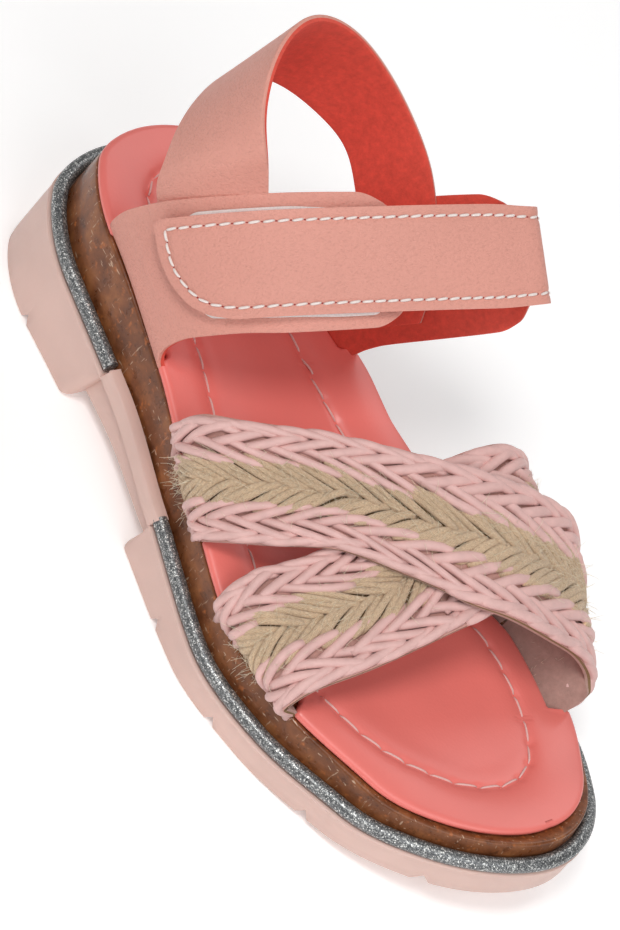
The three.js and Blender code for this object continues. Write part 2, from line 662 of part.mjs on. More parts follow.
// How far up the band's plane the rim lies at a width, on the side where the turn is
function rimCrossing(across, width) {
  let up = 0;
  for (let k = 0; k < 8; k += 1) {
    const along = bandAlongAt(across, up, width);
    const rim = rimHeight(along, swingAt(along) + Math.sign(across) * rimHalfAt(along));
    up = (rim - bandBase + width * Math.sin(tilt)) / Math.cos(tilt);
  }
  return up;
}

function bandPoint(turn, width) {
  const inside = THREE.MathUtils.clamp(turn, 0, 1);
  const past = (Math.abs(turn - inside)) * loopLength;
  const flat = loopCurve.getPointAt(inside);
  const nearRim = Math.max(0, 1 - Math.min(inside, 1 - inside) / rimReach);
  const up = flat.y - past + nearRim * rimCrossing(flat.x, width);
  const along = bandAlongAt(flat.x, up, width);
  const half = THREE.MathUtils.lerp(bandHalf, rimHalfAt(along), nearRim);
  const y = swingAt(along) + (flat.x / bandHalf) * half;
  const z = bandBase + up * Math.cos(tilt) - width * Math.sin(tilt);
  return place(along, y, z);
}

function bandGrid(rows, width, columns, steps, rootTurns = 0) {
  const turns = rows.map((row) => row.turn);
  const rearAt = columnCurve(turns, rows.map((row) => row.rear * width));
  const frontAt = columnCurve(turns, rows.map((row) => row.front * width));
  const [from, to] = [turns[0], turns[turns.length - 1]];
  const stations = [];
  for (let i = 0; i <= steps; i += 1) stations.push(THREE.MathUtils.lerp(from, to, i / steps));
  if (rootTurns < 0) stations.unshift(from + rootTurns);
  if (rootTurns > 0) stations.push(to + rootTurns);
  return stations.map((turn) => {
    const held = THREE.MathUtils.clamp(turn, from, to);
    const row = [];
    for (let j = 0; j <= columns; j += 1) {
      row.push(bandPoint(turn, THREE.MathUtils.lerp(rearAt(held), frontAt(held), j / columns)));
    }
    return row;
  });
}

function bandSolid(grid, from, to) {
  const normals = gridNormals(grid, -1);
  return wallSolid(offsetGrid(grid, normals, from), offsetGrid(grid, normals, to));
}

const rootTurn = rootDepth / loopLength;

function quarterSolid(rows, side, grow) {
  const wider = rows.map((row) => ({
    turn: row.turn,
    rear: row.rear - grow / bandWidth,
    front: row.front + grow / bandWidth,
  }));
  const grid = bandGrid(wider, bandWidth, 5, 13, side * (rootTurn + (grow * 1.5) / loopLength));
  return bandSolid(grid, -quarterThickness - grow, grow);
}

// The closure strap lies over the tape on the outer side, and close to the quarter on the inner side
const overTape = clearance + tapeThickness + clearance;
const tapeFade = [0.45, 0.62];

function closureSolid() {
  const steps = 26;
  const grid = bandGrid(closureRows, closureWidth, 4, steps);
  const normals = gridNormals(grid, -1);
  const [from, to] = [closureRows[0].turn, closureRows[closureRows.length - 1].turn];
  const lift = (i) => {
    const turn = THREE.MathUtils.lerp(from, to, i / steps);
    return THREE.MathUtils.lerp(overTape, clearance, THREE.MathUtils.smoothstep(turn, ...tapeFade));
  };
  const topOf = (i) => lift(i) + closureThickness;
  return wallSolid(offsetGrid(grid, normals, lift), offsetGrid(grid, normals, topOf));
}

function tapeSolid() {
  const grid = bandGrid(tapeRows, tapeWidth, 3, 8);
  return bandSolid(grid, clearance, clearance + tapeThickness);
}

// The heel strap's ends follow the band's surface inside the quarters, and its free part starts and ends
// with the same curve across its width
const strapTabSteps = 7;
const strapFreeSteps = 20;
const strapShares = [0, 0.25, 0.5, 0.75, 1];
const strapBlend = 0.3;

function tabPoint(turn, width) {
  const step = 1 / loopLength;
  const lengthwise = bandPoint(turn + step, width).sub(bandPoint(turn - step, width));
  const widthwise = bandPoint(turn, width + 1).sub(bandPoint(turn, width - 1));
  const inward = lengthwise.cross(widthwise).normalize();
  return bandPoint(turn, width).addScaledVector(inward, quarterThickness + clearance);
}

function tabGrid(rows) {
  const ats = rows.map((row, i) => i / (rows.length - 1));
  const lowAt = columnCurve(ats, rows.map((row) => row.lowTurn));
  const highAt = columnCurve(ats, rows.map((row) => row.highTurn));
  const placeAt = columnCurve(ats, rows.map((row) => row.place * bandWidth));
  const grid = [];
  for (let i = 0; i <= strapTabSteps; i += 1) {
    const t = i / strapTabSteps;
    const turnAt = (share) => THREE.MathUtils.lerp(lowAt(t), highAt(t), share);
    grid.push(strapShares.map((share) => tabPoint(turnAt(share), placeAt(t))));
  }
  return grid;
}

function heelStrapGrid() {
  const start = tabGrid(outerTabRows);
  const end = tabGrid(innerTabRows);
  const joints = [start[strapTabSteps], end[0]];
  const freePoint = (along, across, up) => {
    return place(along * outsoleLength, across * heelWidth, heelHeight + up * heelStrapRise);
  };
  const lines = ["low", "high"].map((edge) => {
    const column = edge === "low" ? 0 : strapShares.length - 1;
    return new THREE.CatmullRomCurve3([
      start[strapTabSteps - 1][column],
      joints[0][column],
      ...heelStrapRows.map((row) => freePoint(row[`${edge}Along`], row[`${edge}Across`], row[`${edge}Up`])),
      joints[1][column],
      end[1][column],
    ]);
  });
  const bows = joints.map((row) => row.map((point, k) => {
    return point.clone().sub(row[0].clone().lerp(row[row.length - 1], strapShares[k]));
  }));
  const edgeShare = 1 / (heelStrapRows.length + 3);
  const free = [];
  for (let i = 1; i < strapFreeSteps; i += 1) {
    const t = i / strapFreeSteps;
    const [low, high] = lines.map((line) => line.getPoint(THREE.MathUtils.lerp(edgeShare, 1 - edgeShare, t)));
    const fades = [t, 1 - t].map((reach) => 1 - THREE.MathUtils.smoothstep(reach, 0, strapBlend));
    free.push(strapShares.map((share, k) => {
      const point = low.clone().lerp(high, share);
      return point.addScaledVector(bows[0][k], fades[0]).addScaledVector(bows[1][k], fades[1]);
    }));
  }
  return [...start, ...free, ...end];
}

function heelStrapSolid() {
  const grid = heelStrapGrid();
  return wallSolid(offsetGrid(grid, gridNormals(grid, -1), -heelStrapThickness), grid);
}

// Materials
const finishes = {
  rubber: { color: 0xddbbb2, roughness: 0.55 },
  glitter: { color: 0x6e7373, roughness: 0.45, metalness: 0.5 },
  cork: { color: 0x6e462d, roughness: 0.35 },
  footbed: { color: 0xf07870, roughness: 0.45 },
  braid: { color: 0xe1b4af, roughness: 0.6 },
  leather: { color: 0xde9b8c, roughness: 0.5 },
  tape: { color: 0xf2ece8, roughness: 0.9 },
};

const sandal = new THREE.Group();

function addPiece(name, solid, finish) {
  const mesh = solid.getMesh();
  const geometry = new THREE.BufferGeometry();
  geometry.setAttribute("position", new THREE.BufferAttribute(Float32Array.from(mesh.vertProperties), 3));
  geometry.setIndex(Array.from(mesh.triVerts));
  geometry.computeVertexNormals();
  const piece = new THREE.Mesh(geometry, new THREE.MeshStandardMaterial(finishes[finish]));
  piece.name = name;
  sandal.add(piece);
}

const quarters = [
  { name: "outer_quarter", rows: outerQuarterRows, side: -1 },
  { name: "inner_quarter", rows: innerQuarterRows, side: 1 },
];
const pockets = [
  ...[overStrapRows, underStrapRows].flatMap((rows) => [vampPocket(rows, true), vampPocket(rows, false)]),
  ...quarters.map((quarter) => quarterSolid(quarter.rows, quarter.side, clearance)),
];
function withPockets(solid) {
  const cut = pockets.reduce((rest, pocket) => rest.subtract(pocket), solid);
  const bodies = cut.decompose().sort((a, b) => b.volume() - a.volume());
  return bodies[0];
}

addPiece("outsole", outsoleSolid(), "rubber");
const heelPipingEnd = turnOf((lipStart - clearance) / outsoleLength);
const forefootPipingEnd = turnOf((lipEnd + clearance) / outsoleLength);
addPiece("heel_piping", pipingSolid(heelPipingEnd, 0, 30), "glitter");
addPiece("forefoot_piping", pipingSolid(forefootPipingEnd, 1, 44), "glitter");
addPiece("cork_midsole", withPockets(corkSolid()), "cork");
addPiece("footbed", withPockets(footbedSolid()), "footbed");
addPiece("braided_vamp", vampStrapSolid(overStrapRows).add(vampStrapSolid(underStrapRows)), "braid");
for (const quarter of quarters) {
  addPiece(quarter.name, quarterSolid(quarter.rows, quarter.side, 0), "leather");
}
addPiece("heel_strap", heelStrapSolid(), "leather");
addPiece("hook_tape", tapeSolid(), "tape");
addPiece("closure_strap", closureSolid(), "leather");

export default sandal;
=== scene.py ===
# Child's sandal for the right foot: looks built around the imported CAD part.
# Lengths are millimetres until a mesh is made, as in the part's source.
import math

import bmesh
import bpy
import numpy as np
from mathutils import Matrix, Vector
from mathutils.kdtree import KDTree


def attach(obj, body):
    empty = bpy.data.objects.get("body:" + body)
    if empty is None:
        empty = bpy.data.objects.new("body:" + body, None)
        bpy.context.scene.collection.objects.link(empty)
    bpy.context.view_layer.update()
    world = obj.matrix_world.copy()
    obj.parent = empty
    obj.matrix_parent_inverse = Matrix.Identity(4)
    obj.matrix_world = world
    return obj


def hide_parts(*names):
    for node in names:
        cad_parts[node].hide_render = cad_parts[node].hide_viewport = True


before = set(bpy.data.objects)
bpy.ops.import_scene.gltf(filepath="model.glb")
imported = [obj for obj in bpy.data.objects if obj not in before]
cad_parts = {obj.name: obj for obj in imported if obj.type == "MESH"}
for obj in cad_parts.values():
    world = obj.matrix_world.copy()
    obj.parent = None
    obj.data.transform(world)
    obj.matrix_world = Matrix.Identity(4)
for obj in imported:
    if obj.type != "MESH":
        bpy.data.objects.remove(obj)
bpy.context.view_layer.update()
print("frame loaded")

mm = 0.001

# The part's own sizes
sole = {
    "length": 212,
    "ball": 88.2,
    "heel": 64,
    "seat": 20,
    "heelHeight": 39.5,
    "foreHeight": 17,
    "arch": 7.7,
    "spring": 11.5,
    "springStart": 0.72,
    "heelSole": 25.5,
    "foreSole": 8.5,
    "gap": 0.3,
    "piping": 3.8,
    "pipingEdge": 0.2,
    "corkDraft": 1,
    "heelCup": 4,
    "foreCup": 1.8,
    "cupFade": (60, 110),
}
outlineRows = [
    # along, share of heel width, share of ball width, swing to the inner side
    (0, 0, 0, 0),
    (0.04, 0.347, 0, -0.003),
    (0.15, 0.484, 0, 0),
    (0.3, 0.3, 0.145, -0.019),
    (0.45, 0.1, 0.347, -0.0385),
    (0.6, 0, 0.4626, -0.0635),
    (0.72, 0, 0.5, 0.0102),
    (0.84, 0, 0.458, 0.0692),
    (0.93, 0, 0.331, 0.085),
    (1, 0, 0, 0.101),
]
heightRows = [
    # along, cork rim heel and toe shares, piping heel and toe shares, arch share
    (0, 1, 0, 1, 0, 0),
    (0.15, 0.85, 0, 0.735, 0, 0),
    (0.3, 0.58, 0, 0.53, 0, 0.55),
    (0.45, 0.307, 0, 0.3235, 0, 1),
    (0.7, 0, 0, 0, 0, 0.62),
    (0.85, 0, 0.07, 0, 0.26, 0),
    (1, 0, 0.887, 0, 1.13, 0),
]


def columnCurve(xs, ys):
    xs, ys = np.array(xs, float), np.array(ys, float)
    steps = np.diff(ys) / np.diff(xs)
    slopes = np.zeros(len(xs))
    slopes[0], slopes[-1] = steps[0], steps[-1]
    for i in range(1, len(xs) - 1):
        before, after = steps[i - 1], steps[i]
        if before * after > 0:
            slopes[i] = 2 * before * after / (before + after)

    def valueAt(x):
        x = np.asarray(x, float)
        i = np.clip(np.searchsorted(xs, x, side="left") - 1, 0, len(xs) - 2)
        span = xs[i + 1] - xs[i]
        t = np.clip((x - xs[i]) / span, 0, 1)
        rise = t * t * (3 - 2 * t)
        lead = t * (1 - t) ** 2 * span * slopes[i]
        trail = t * t * (1 - t) * span * slopes[i + 1]
        return ys[i] + (ys[i + 1] - ys[i]) * rise + lead - trail

    return valueAt


def smoothStep(x, low, high):
    t = np.clip((np.asarray(x, float) - low) / (high - low), 0, 1)
    return t * t * (3 - 2 * t)


def turnOf(share):
    return np.arccos(np.clip(1 - 2 * np.asarray(share, float), -1, 1)) / np.pi


def alongOf(turn):
    return sole["length"] * (1 - np.cos(np.pi * np.asarray(turn, float))) / 2


def column(rows, k):
    return [row[k] for row in rows]


def unit(vectors):
    return vectors / np.linalg.norm(vectors, axis=-1, keepdims=True)


def runLengths(points):
    # Length of the line up to each of its points
    return np.concatenate([[0], np.cumsum(np.linalg.norm(np.diff(points, axis=0), axis=1))])

outlineTurns = turnOf(column(outlineRows, 0))
halfAtTurn = columnCurve(outlineTurns, [r[1] * sole["heel"] + r[2] * sole["ball"] for r in outlineRows])
swingAtTurn = columnCurve(outlineTurns, [r[3] * sole["ball"] for r in outlineRows])
heelExtra = sole["heelHeight"] - sole["foreHeight"]
seamExtra = sole["heelSole"] - sole["foreSole"]
heightAts = column(heightRows, 0)
rims = [sole["foreHeight"] + r[1] * heelExtra + r[2] * sole["spring"] for r in heightRows]
seams = [sole["foreSole"] + r[3] * seamExtra + r[4] * sole["spring"] for r in heightRows]
rimCurve = columnCurve(heightAts, rims)
seamCurve = columnCurve(heightAts, seams)
archCurve = columnCurve(heightAts, [r[5] * sole["arch"] for r in heightRows])
corkInset = sole["pipingEdge"] + sole["piping"] + sole["gap"]
rimInset = corkInset + sole["corkDraft"]


def shareAlong(along):
    return np.clip(np.asarray(along, float) / sole["length"], 0, 1)


def swingAt(along):
    return swingAtTurn(turnOf(shareAlong(along)))


def rimHalfAt(along):
    return halfAtTurn(turnOf(shareAlong(along))) - rimInset


def pipingHeight(along):
    return seamCurve(shareAlong(along))


def outsoleTop(along):
    return pipingHeight(along) - sole["piping"] / 2 - sole["gap"]


def groundHeight(along):
    past = np.maximum(0, (shareAlong(along) - sole["springStart"]) / (1 - sole["springStart"]))
    return sole["spring"] * past * past


def acrossShare(along, y):
    return np.clip((y - swingAt(along)) / np.maximum(1, rimHalfAt(along)), -1, 1)


def rimHeight(along, y):
    inner = (acrossShare(along, y) + 1) / 2
    return rimCurve(shareAlong(along)) + archCurve(shareAlong(along)) * inner * inner * (3 - 2 * inner)


def corkTopHeight(along, y):
    share = acrossShare(along, y)
    deeper = sole["foreCup"] - sole["heelCup"]
    depth = sole["heelCup"] + deeper * smoothStep(along, *sole["cupFade"])
    ends = np.sqrt(np.maximum(0, np.sin(np.pi * shareAlong(along))))
    return rimHeight(along, y) - depth * (1 - share * share) * ends


def outlineRaw(turn, side):
    turn = np.asarray(turn, float)
    flipped = (turn < 0) | (turn > 1)
    inside = np.where(turn < 0, -turn, np.where(turn > 1, 2 - turn, turn))
    across = np.where(flipped, -side, side) * halfAtTurn(inside)
    return np.stack([alongOf(inside), swingAtTurn(inside) + across], -1)


def outlinePoint(turn, side, inset):
    step = 0.004
    turn = np.asarray(turn, float)
    way = unit(outlineRaw(turn + step, side) - outlineRaw(turn - step, side))
    inward = np.stack([-way[..., 1], way[..., 0]], -1) * -side
    return outlineRaw(turn, side) + inward * np.asarray(inset, float)[..., None]


def place(along, y, z):
    along, y, z = np.broadcast_arrays(np.asarray(along, float) - sole["seat"], y, z)
    return np.stack([along, y, z], -1)


def splinePoint(points, t, centripetal=True):
    points = np.asarray(points, float)
    last = len(points) - 1
    p = np.clip(np.asarray(t, float), 0, 1) * last
    i = np.minimum(p.astype(int), last - 1)
    w = (p - i)[..., None]
    padded = np.vstack([2 * points[0] - points[1], points, 2 * points[-1] - points[-2]])
    p0, p1, p2, p3 = (padded[i + k] for k in range(4))
    if centripetal:
        pairs = ((p0, p1), (p1, p2), (p2, p3))
        gaps = [np.linalg.norm(b - a, axis=-1, keepdims=True) ** 0.5 for a, b in pairs]
        d0, d1, d2 = [np.maximum(gap, 0.01) for gap in gaps]
        t1 = ((p1 - p0) / d0 - (p2 - p0) / (d0 + d1) + (p2 - p1) / d1) * d1
        t2 = ((p2 - p1) / d1 - (p3 - p1) / (d1 + d2) + (p3 - p2) / d2) * d1
    else:
        t1, t2 = (p2 - p0) / 2, (p3 - p1) / 2
    c2 = -3 * p1 + 3 * p2 - 2 * t1 - t2
    c3 = 2 * p1 - 2 * p2 + t1 + t2
    return p1 + t1 * w + c2 * w ** 2 + c3 * w ** 3


def outwardNormals(grid):
    normals = np.cross(np.gradient(grid, axis=0), np.gradient(grid, axis=1))
    return -normals / np.maximum(np.linalg.norm(normals, axis=-1, keepdims=True), 1e-9)


# Mesh helpers
weld = 0.004
strapSharp = 40
bevelSharp = 60


def smoothFaces(mesh, sharpAngle=None):
    mesh.polygons.foreach_set("use_smooth", np.ones(len(mesh.polygons), bool))
    if sharpAngle:
        mesh.set_sharp_from_angle(angle=math.radians(sharpAngle))


def cleanMesh(mesh, joined):
    bm = bmesh.new()
    bm.from_mesh(mesh)
    if joined:
        bmesh.ops.remove_doubles(bm, verts=bm.verts, dist=weld * mm)
        bmesh.ops.dissolve_degenerate(bm, dist=weld * mm / 4, edges=bm.edges)
    bmesh.ops.recalc_face_normals(bm, faces=bm.faces)
    bm.to_mesh(mesh)
    bm.free()


def linkObject(name, data):
    obj = bpy.data.objects.new(name, data)
    bpy.context.scene.collection.objects.link(obj)
    return obj


def dropObjects(objects):
    for obj in objects:
        bpy.data.objects.remove(obj, do_unlink=True)


def meshObject(name, points, faces=(), materials=(), faceSlots=None):
    mesh = bpy.data.meshes.new(name)
    mesh.from_pydata((np.asarray(points, float) * mm).tolist(), [], [list(map(int, f)) for f in faces])
    for material in materials:
        mesh.materials.append(material)
    if faceSlots is not None:
        mesh.polygons.foreach_set("material_index", np.asarray(faceSlots, np.int32))
    smoothFaces(mesh)
    mesh.update()
    return linkObject(name, mesh)


def gridFaces(rows, columns, start=0):
    i, j = np.meshgrid(np.arange(rows - 1), np.arange(columns - 1), indexing="ij")
    a = (i * columns + j + start).ravel()
    return np.stack([a, a + columns, a + columns + 1, a + 1], -1)


def fromGrids(name, grids, looks, sharpAngle=35):
    # Each grid comes with the number of its finish, and grids that touch are welded
    points, faces, slots = [], [], []
    count = 0
    for grid, slot in grids:
        rows, columns = grid.shape[:2]
        faces.append(gridFaces(rows, columns, count))
        slots.append(np.full(len(faces[-1]), slot))
        points.append(grid.reshape(-1, 3))
        count += rows * columns
    materials = [finishes[look] for look in looks]
    obj = meshObject(name, np.vstack(points), np.vstack(faces), materials, np.concatenate(slots))
    cleanMesh(obj.data, True)
    smoothFaces(obj.data, sharpAngle)
    return obj


def settle(obj):
    # What the modifiers make becomes the object's plain mesh
    bpy.context.view_layer.update()
    graph = bpy.context.evaluated_depsgraph_get()
    made = obj.evaluated_get(graph)
    mesh = bpy.data.meshes.new_from_object(made, preserve_all_data_layers=True, depsgraph=graph)
    old = obj.data
    obj.modifiers.clear()
    obj.data = mesh
    bpy.data.meshes.remove(old)
    obj.data.name = obj.name


def bevelEdges(obj, width, segments, angle):
    bevel = obj.modifiers.new("edge", "BEVEL")
    bevel.width = width * mm
    bevel.segments = segments
    bevel.limit_method = "ANGLE"
    bevel.angle_limit = math.radians(angle)
    settle(obj)
    smoothFaces(obj.data, bevelSharp)
    return obj


def finishPiece(obj, slot, *nodes):
    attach(obj, "root")
    if nodes:
        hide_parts(*nodes)
    return obj


# Materials
def linearColor(red, green, blue):
    values = [v / 255 for v in (red, green, blue)]
    return tuple(v / 12.92 if v <= 0.04045 else ((v + 0.055) / 1.055) ** 2.4 for v in values)


def newMaterial(name, color, roughness, settings):
    material = bpy.data.materials.new(name)
    material.use_nodes = True
    material.diffuse_color = (*color, 1)
    shader = material.node_tree.nodes["Principled BSDF"]
    values = {"Base Color": (*color, 1), "Roughness": roughness, **settings}
    for key, value in values.items():
        shader.inputs[key].default_value = value
    return material, material.node_tree, shader


def addNode(tree, kind, inputs=None, **settings):
    node = tree.nodes.new(kind)
    for key, value in settings.items():
        setattr(node, key, value)
    for key, value in (inputs or {}).items():
        if isinstance(value, bpy.types.NodeSocket):
            tree.links.new(value, node.inputs[key])
        else:
            node.inputs[key].default_value = value
    return node


def makeTexture(tree, kind, scale, detail=3, rough=0.5, stretch=(1, 1, 1), turn=(0, 0, 0)):
    # Strand runs along a cord's own UV, all others are set in the object's space
    if kind == "strand":
        coords = addNode(tree, "ShaderNodeUVMap", uv_map="strand").outputs["UV"]
    else:
        coords = addNode(tree, "ShaderNodeTexCoord").outputs["Object"]
    mapping = addNode(tree, "ShaderNodeMapping", {"Vector": coords, "Scale": stretch, "Rotation": turn})
    inputs = {"Vector": mapping.outputs["Vector"], "Scale": scale}
    if kind == "cells":
        return addNode(tree, "ShaderNodeTexVoronoi", inputs, feature="SMOOTH_F1").outputs["Distance"]
    inputs.update({"Detail": detail, "Roughness": rough})
    return addNode(tree, "ShaderNodeTexNoise", inputs).outputs["Fac"]


def makeFlakes(tree, scale):
    # Three unlike random values for each flake
    coords = addNode(tree, "ShaderNodeTexCoord")
    flakes = addNode(tree, "ShaderNodeTexVoronoi", {"Vector": coords.outputs["Object"], "Scale": scale})
    parts = addNode(tree, "ShaderNodeSeparateColor", {"Color": flakes.outputs["Color"]}).outputs
    return dict(zip(("flakeTone", "flakeGloss", "flakeLift"), parts))


def ramp(tree, value, stops):
    node = addNode(tree, "ShaderNodeValToRGB", {"Fac": value})
    elements = node.color_ramp.elements
    while len(elements) < len(stops):
        elements.new(0.5)
    for element, (position, color) in zip(elements, stops):
        element.position = position
        element.color = (*color, 1)
    return node.outputs["Color"]


def mixColor(tree, factor, first, second, mode):
    node = addNode(tree, "ShaderNodeMix", data_type="RGBA", blend_type=mode)
    for socket, value in ((node.inputs[0], factor), (node.inputs[6], first), (node.inputs[7], second)):
        if isinstance(value, bpy.types.NodeSocket):
            tree.links.new(value, socket)
        elif isinstance(value, tuple):
            socket.default_value = (*value, 1)
        else:
            socket.default_value = value
    return node.outputs[2]


def makeFinish(look):
    # A stop of the base is a colour or a factor of the finish's own one, and the other stops are greys. What
    # lies over the base multiplies it, or covers it with the colour that is given.
    color = linearColor(*look["rgb"])
    material, tree, shader = newMaterial(look["name"], color, look["roughness"], look.get("settings", {}))
    textures = {key: makeTexture(tree, *row) for key, row in look.get("textures", {}).items()}
    if "flakes" in look:
        textures.update(makeFlakes(tree, look["flakes"]))

    def toned(value):
        return linearColor(*value) if isinstance(value, tuple) else tuple(min(1, c * value) for c in color)

    def greys(texture, *stops):
        return ramp(tree, textures[texture], [(at, (value,) * 3) for at, value in stops])

    texture, *stops = look["base"]
    base = ramp(tree, textures[texture], [(at, toned(value)) for at, value in stops])
    for cover, texture, *stops in look.get("over", ()):
        if cover:
            base = mixColor(tree, greys(texture, *stops), base, linearColor(*cover), "MIX")
        else:
            base = mixColor(tree, 1.0, base, greys(texture, *stops), "MULTIPLY")
    tree.links.new(base, shader.inputs["Base Color"])
    if "gloss" in look:
        tree.links.new(greys(*look["gloss"]), shader.inputs["Roughness"])
    normal = None
    for texture, strength, distance in look["bumps"]:
        inputs = {"Height": textures[texture], "Strength": strength, "Distance": distance * mm}
        if normal is not None:
            inputs["Normal"] = normal
        normal = addNode(tree, "ShaderNodeBump", inputs).outputs["Normal"]
    tree.links.new(normal, shader.inputs["Normal"])
    return material


def plainLook(name, rgb, roughness, bump=0.3, scale=1800):
    return {
        "name": name, "rgb": rgb, "roughness": roughness,
        "textures": {"grain": ("noise", scale)},
        "base": ("grain", (0.3, 0.85), (0.7, 1)),
        "bumps": [("grain", bump, 0.08)],
    }


def liningLook(name, rgb, streak):
    nap = (*[min(1, c * 1.4 + 0.1) for c in linearColor(*rgb)], 1)
    return {
        "name": name, "rgb": rgb, "roughness": 0.85,
        "settings": {"Sheen Weight": 0.35, "Sheen Roughness": 0.5, "Sheen Tint": nap},
        "textures": {"nap": ("noise", 1500, 5, 0.65), "patches": ("noise", 520, 5, 0.7)},
        "base": ("patches", (0.32, 1 - streak), (0.68, 1 + streak)),
        "bumps": [("nap", 0.6, 0.18), ("patches", 0.3, 0.3)],
    }


# Textures are kind, scale, detail, roughness, stretch and turn. Bumps are texture, strength and millimetres.
looks = {
    "leather": {
        "name": "leatherSalmon", "rgb": (223, 156, 141), "roughness": 0.5,
        "settings": {"Coat Weight": 0.08, "Coat Roughness": 0.4, "Specular IOR Level": 0.32},
        "textures": {
            "pebbles": ("cells", 1000 / 0.7),
            "wrinkles": ("noise", 1700, 3, 0.6, (1, 0.55, 1), (0.4, 0.2, 0.3)),
            "fine": ("noise", 3000, 2),
            "patches": ("noise", 26, 2),
        },
        "base": ("patches", (0.3, 0.955), (0.7, 1.03)),
        "over": [(None, "wrinkles", (0.3, 0.91), (0.5, 1))],
        "gloss": ("pebbles", (0.1, 0.44), (0.8, 0.6)),
        "bumps": [("pebbles", 0.5, 0.12), ("wrinkles", 1.0, 0.4), ("fine", 0.2, 0.05)],
    },
    "lining": liningLook("liningCoral", (216, 78, 62), 0.14),
    "strapLining": liningLook("strapLiningMauve", (172, 138, 128), 0.12),
    "footbed": {
        "name": "footbedCoral", "rgb": (242, 124, 115), "roughness": 0.44,
        "settings": {"Coat Weight": 0.3, "Coat Roughness": 0.24},
        "textures": {"soft": ("noise", 28, 2), "fine": ("noise", 1500), "pores": ("cells", 1300)},
        "base": ("soft", (0.35, 0.92), (0.65, 1)),
        "bumps": [("pores", 0.4, 0.08), ("fine", 0.3, 0.06), ("soft", 0.25, 0.6)],
    },
    "rubber": {
        "name": "rubberPink", "rgb": (222, 188, 177), "roughness": 0.5,
        "settings": {"Subsurface Weight": 0.08, "Subsurface Radius": (0.004, 0.002, 0.0015)},
        "textures": {"cloud": ("noise", 60), "fine": ("noise", 1400)},
        "base": ("cloud", (0.35, 0.93), (0.7, 1)),
        "gloss": ("fine", (0.3, 0.44), (0.7, 0.56)),
        "bumps": [("fine", 0.25, 0.06), ("cloud", 0.2, 0.25)],
    },
    # Dark varnished cork: soft brown clouds, a few warm granules, fine pale fibres under the gloss
    "cork": {
        "name": "corkDark", "rgb": (106, 66, 42), "roughness": 0.42,
        "settings": {"Coat Weight": 0.22, "Coat Roughness": 0.14, "Specular IOR Level": 0.3},
        "textures": {
            "clouds": ("noise", 150, 4, 0.6),
            "granules": ("noise", 520, 2),
            "pits": ("noise", 700, 3, 0.6),
            "fibres": ("noise", 1500, 2, 0.5, (0.16, 1, 1), (0, 0.12, 0.1)),
            "across": ("noise", 1500, 2, 0.5, (1, 1, 0.16), (0.3, 0.2, 0)),
            "varnish": ("noise", 300),
            "grain": ("noise", 420, 4, 0.6),
            "swell": ("noise", 120),
        },
        "base": ("clouds", (0.3, (92, 50, 27)), (0.5, (126, 74, 43)), (0.7, (156, 98, 58))),
        "over": [
            ((184, 106, 54), "granules", (0.62, 0), (0.74, 0.7)),
            (None, "pits", (0.3, 0.62), (0.42, 1)),
            ((206, 176, 150), "fibres", (0.68, 0), (0.73, 0.75)),
            ((206, 176, 150), "across", (0.68, 0), (0.73, 0.6)),
        ],
        "gloss": ("varnish", (0.3, 0.24), (0.7, 0.44)),
        "bumps": [("grain", 0.35, 0.2), ("swell", 0.5, 0.6)],
    },
    "glitter": {
        "name": "glitterGrey", "rgb": (118, 122, 122), "roughness": 0.35,
        "settings": {"Metallic": 0.75},
        "flakes": 3800,
        "textures": {"swell": ("noise", 500, 2)},
        "base": ("flakeTone", (0, (84, 85, 87)), (0.6, (126, 128, 129)), (0.85, (172, 173, 172)),
                 (1, (250, 250, 246))),
        "gloss": ("flakeGloss", (0, 0.28), (1, 0.65)),
        "bumps": [("flakeLift", 0.5, 0.1), ("swell", 0.3, 0.25)],
    },
    "cord": {
        "name": "cordPink", "rgb": (228, 184, 178), "roughness": 0.52,
        "settings": {"Sheen Weight": 0.2},
        "textures": {
            "sheath": ("strand", 1.6, 3, 0.6, (2.6, 0.5, 1)),
            "cloud": ("noise", 260),
            "fine": ("noise", 2400),
        },
        "base": ("cloud", (0.3, 0.86), (0.7, 1)),
        "bumps": [("sheath", 0.55, 0.16), ("fine", 0.25, 0.06)],
    },
    "jute": {
        "name": "juteTan", "rgb": (204, 176, 140), "roughness": 0.68,
        "settings": {"Sheen Weight": 0.25},
        "textures": {"fibre": ("strand", 3, 4, 0.7, (0.4, 4.5, 1)), "patch": ("noise", 160)},
        "base": ("fibre", (0.32, (124, 92, 62)), (0.48, (226, 190, 152)), (0.68, (255, 238, 208))),
        "over": [(None, "patch", (0.3, 0.87), (0.7, 1))],
        "bumps": [("fibre", 1, 0.3)],
    },
    "hair": plainLook("juteHair", (240, 226, 200), 0.5),
    "thread": plainLook("threadWhite", (244, 232, 226), 0.5, 0.5, 4000),
    "softThread": plainLook("threadRose", (236, 190, 184), 0.5, 0.5, 4000),
    # Dark red of the stitch hole marks: painted shade in the holes
    "hole": plainLook("stitchHole", (150, 46, 44), 0.8),
    "tape": plainLook("tapeWhite", (240, 234, 230), 0.9, 0.8, 2200),
    # Backing seen between the cords: cord rose darkened as painted shade
    "strapBase": plainLook("strapBaseRose", (196, 150, 140), 0.7),
    # Brown under the jute: painted shade in the gaps between the yarns
    "juteGapShade": plainLook("juteShade", (132, 104, 70), 0.8),
}
finishes = {key: makeFinish(look) for key, look in looks.items()}
print("materials made")


# Sole pieces
def ringSides(levels, turns):
    # Each level is (inset, height function) and gives the outer and the inner side's line of points
    sides = {}
    for side in (-1, 1):
        lines = []
        for inset, height in levels:
            amount = inset(turns, side) if callable(inset) else inset
            flat = outlinePoint(turns, side, np.broadcast_to(amount, turns.shape))
            lines.append(place(flat[:, 0], flat[:, 1], height(flat[:, 0], flat[:, 1])))
        sides[side] = np.array(lines)
    return sides


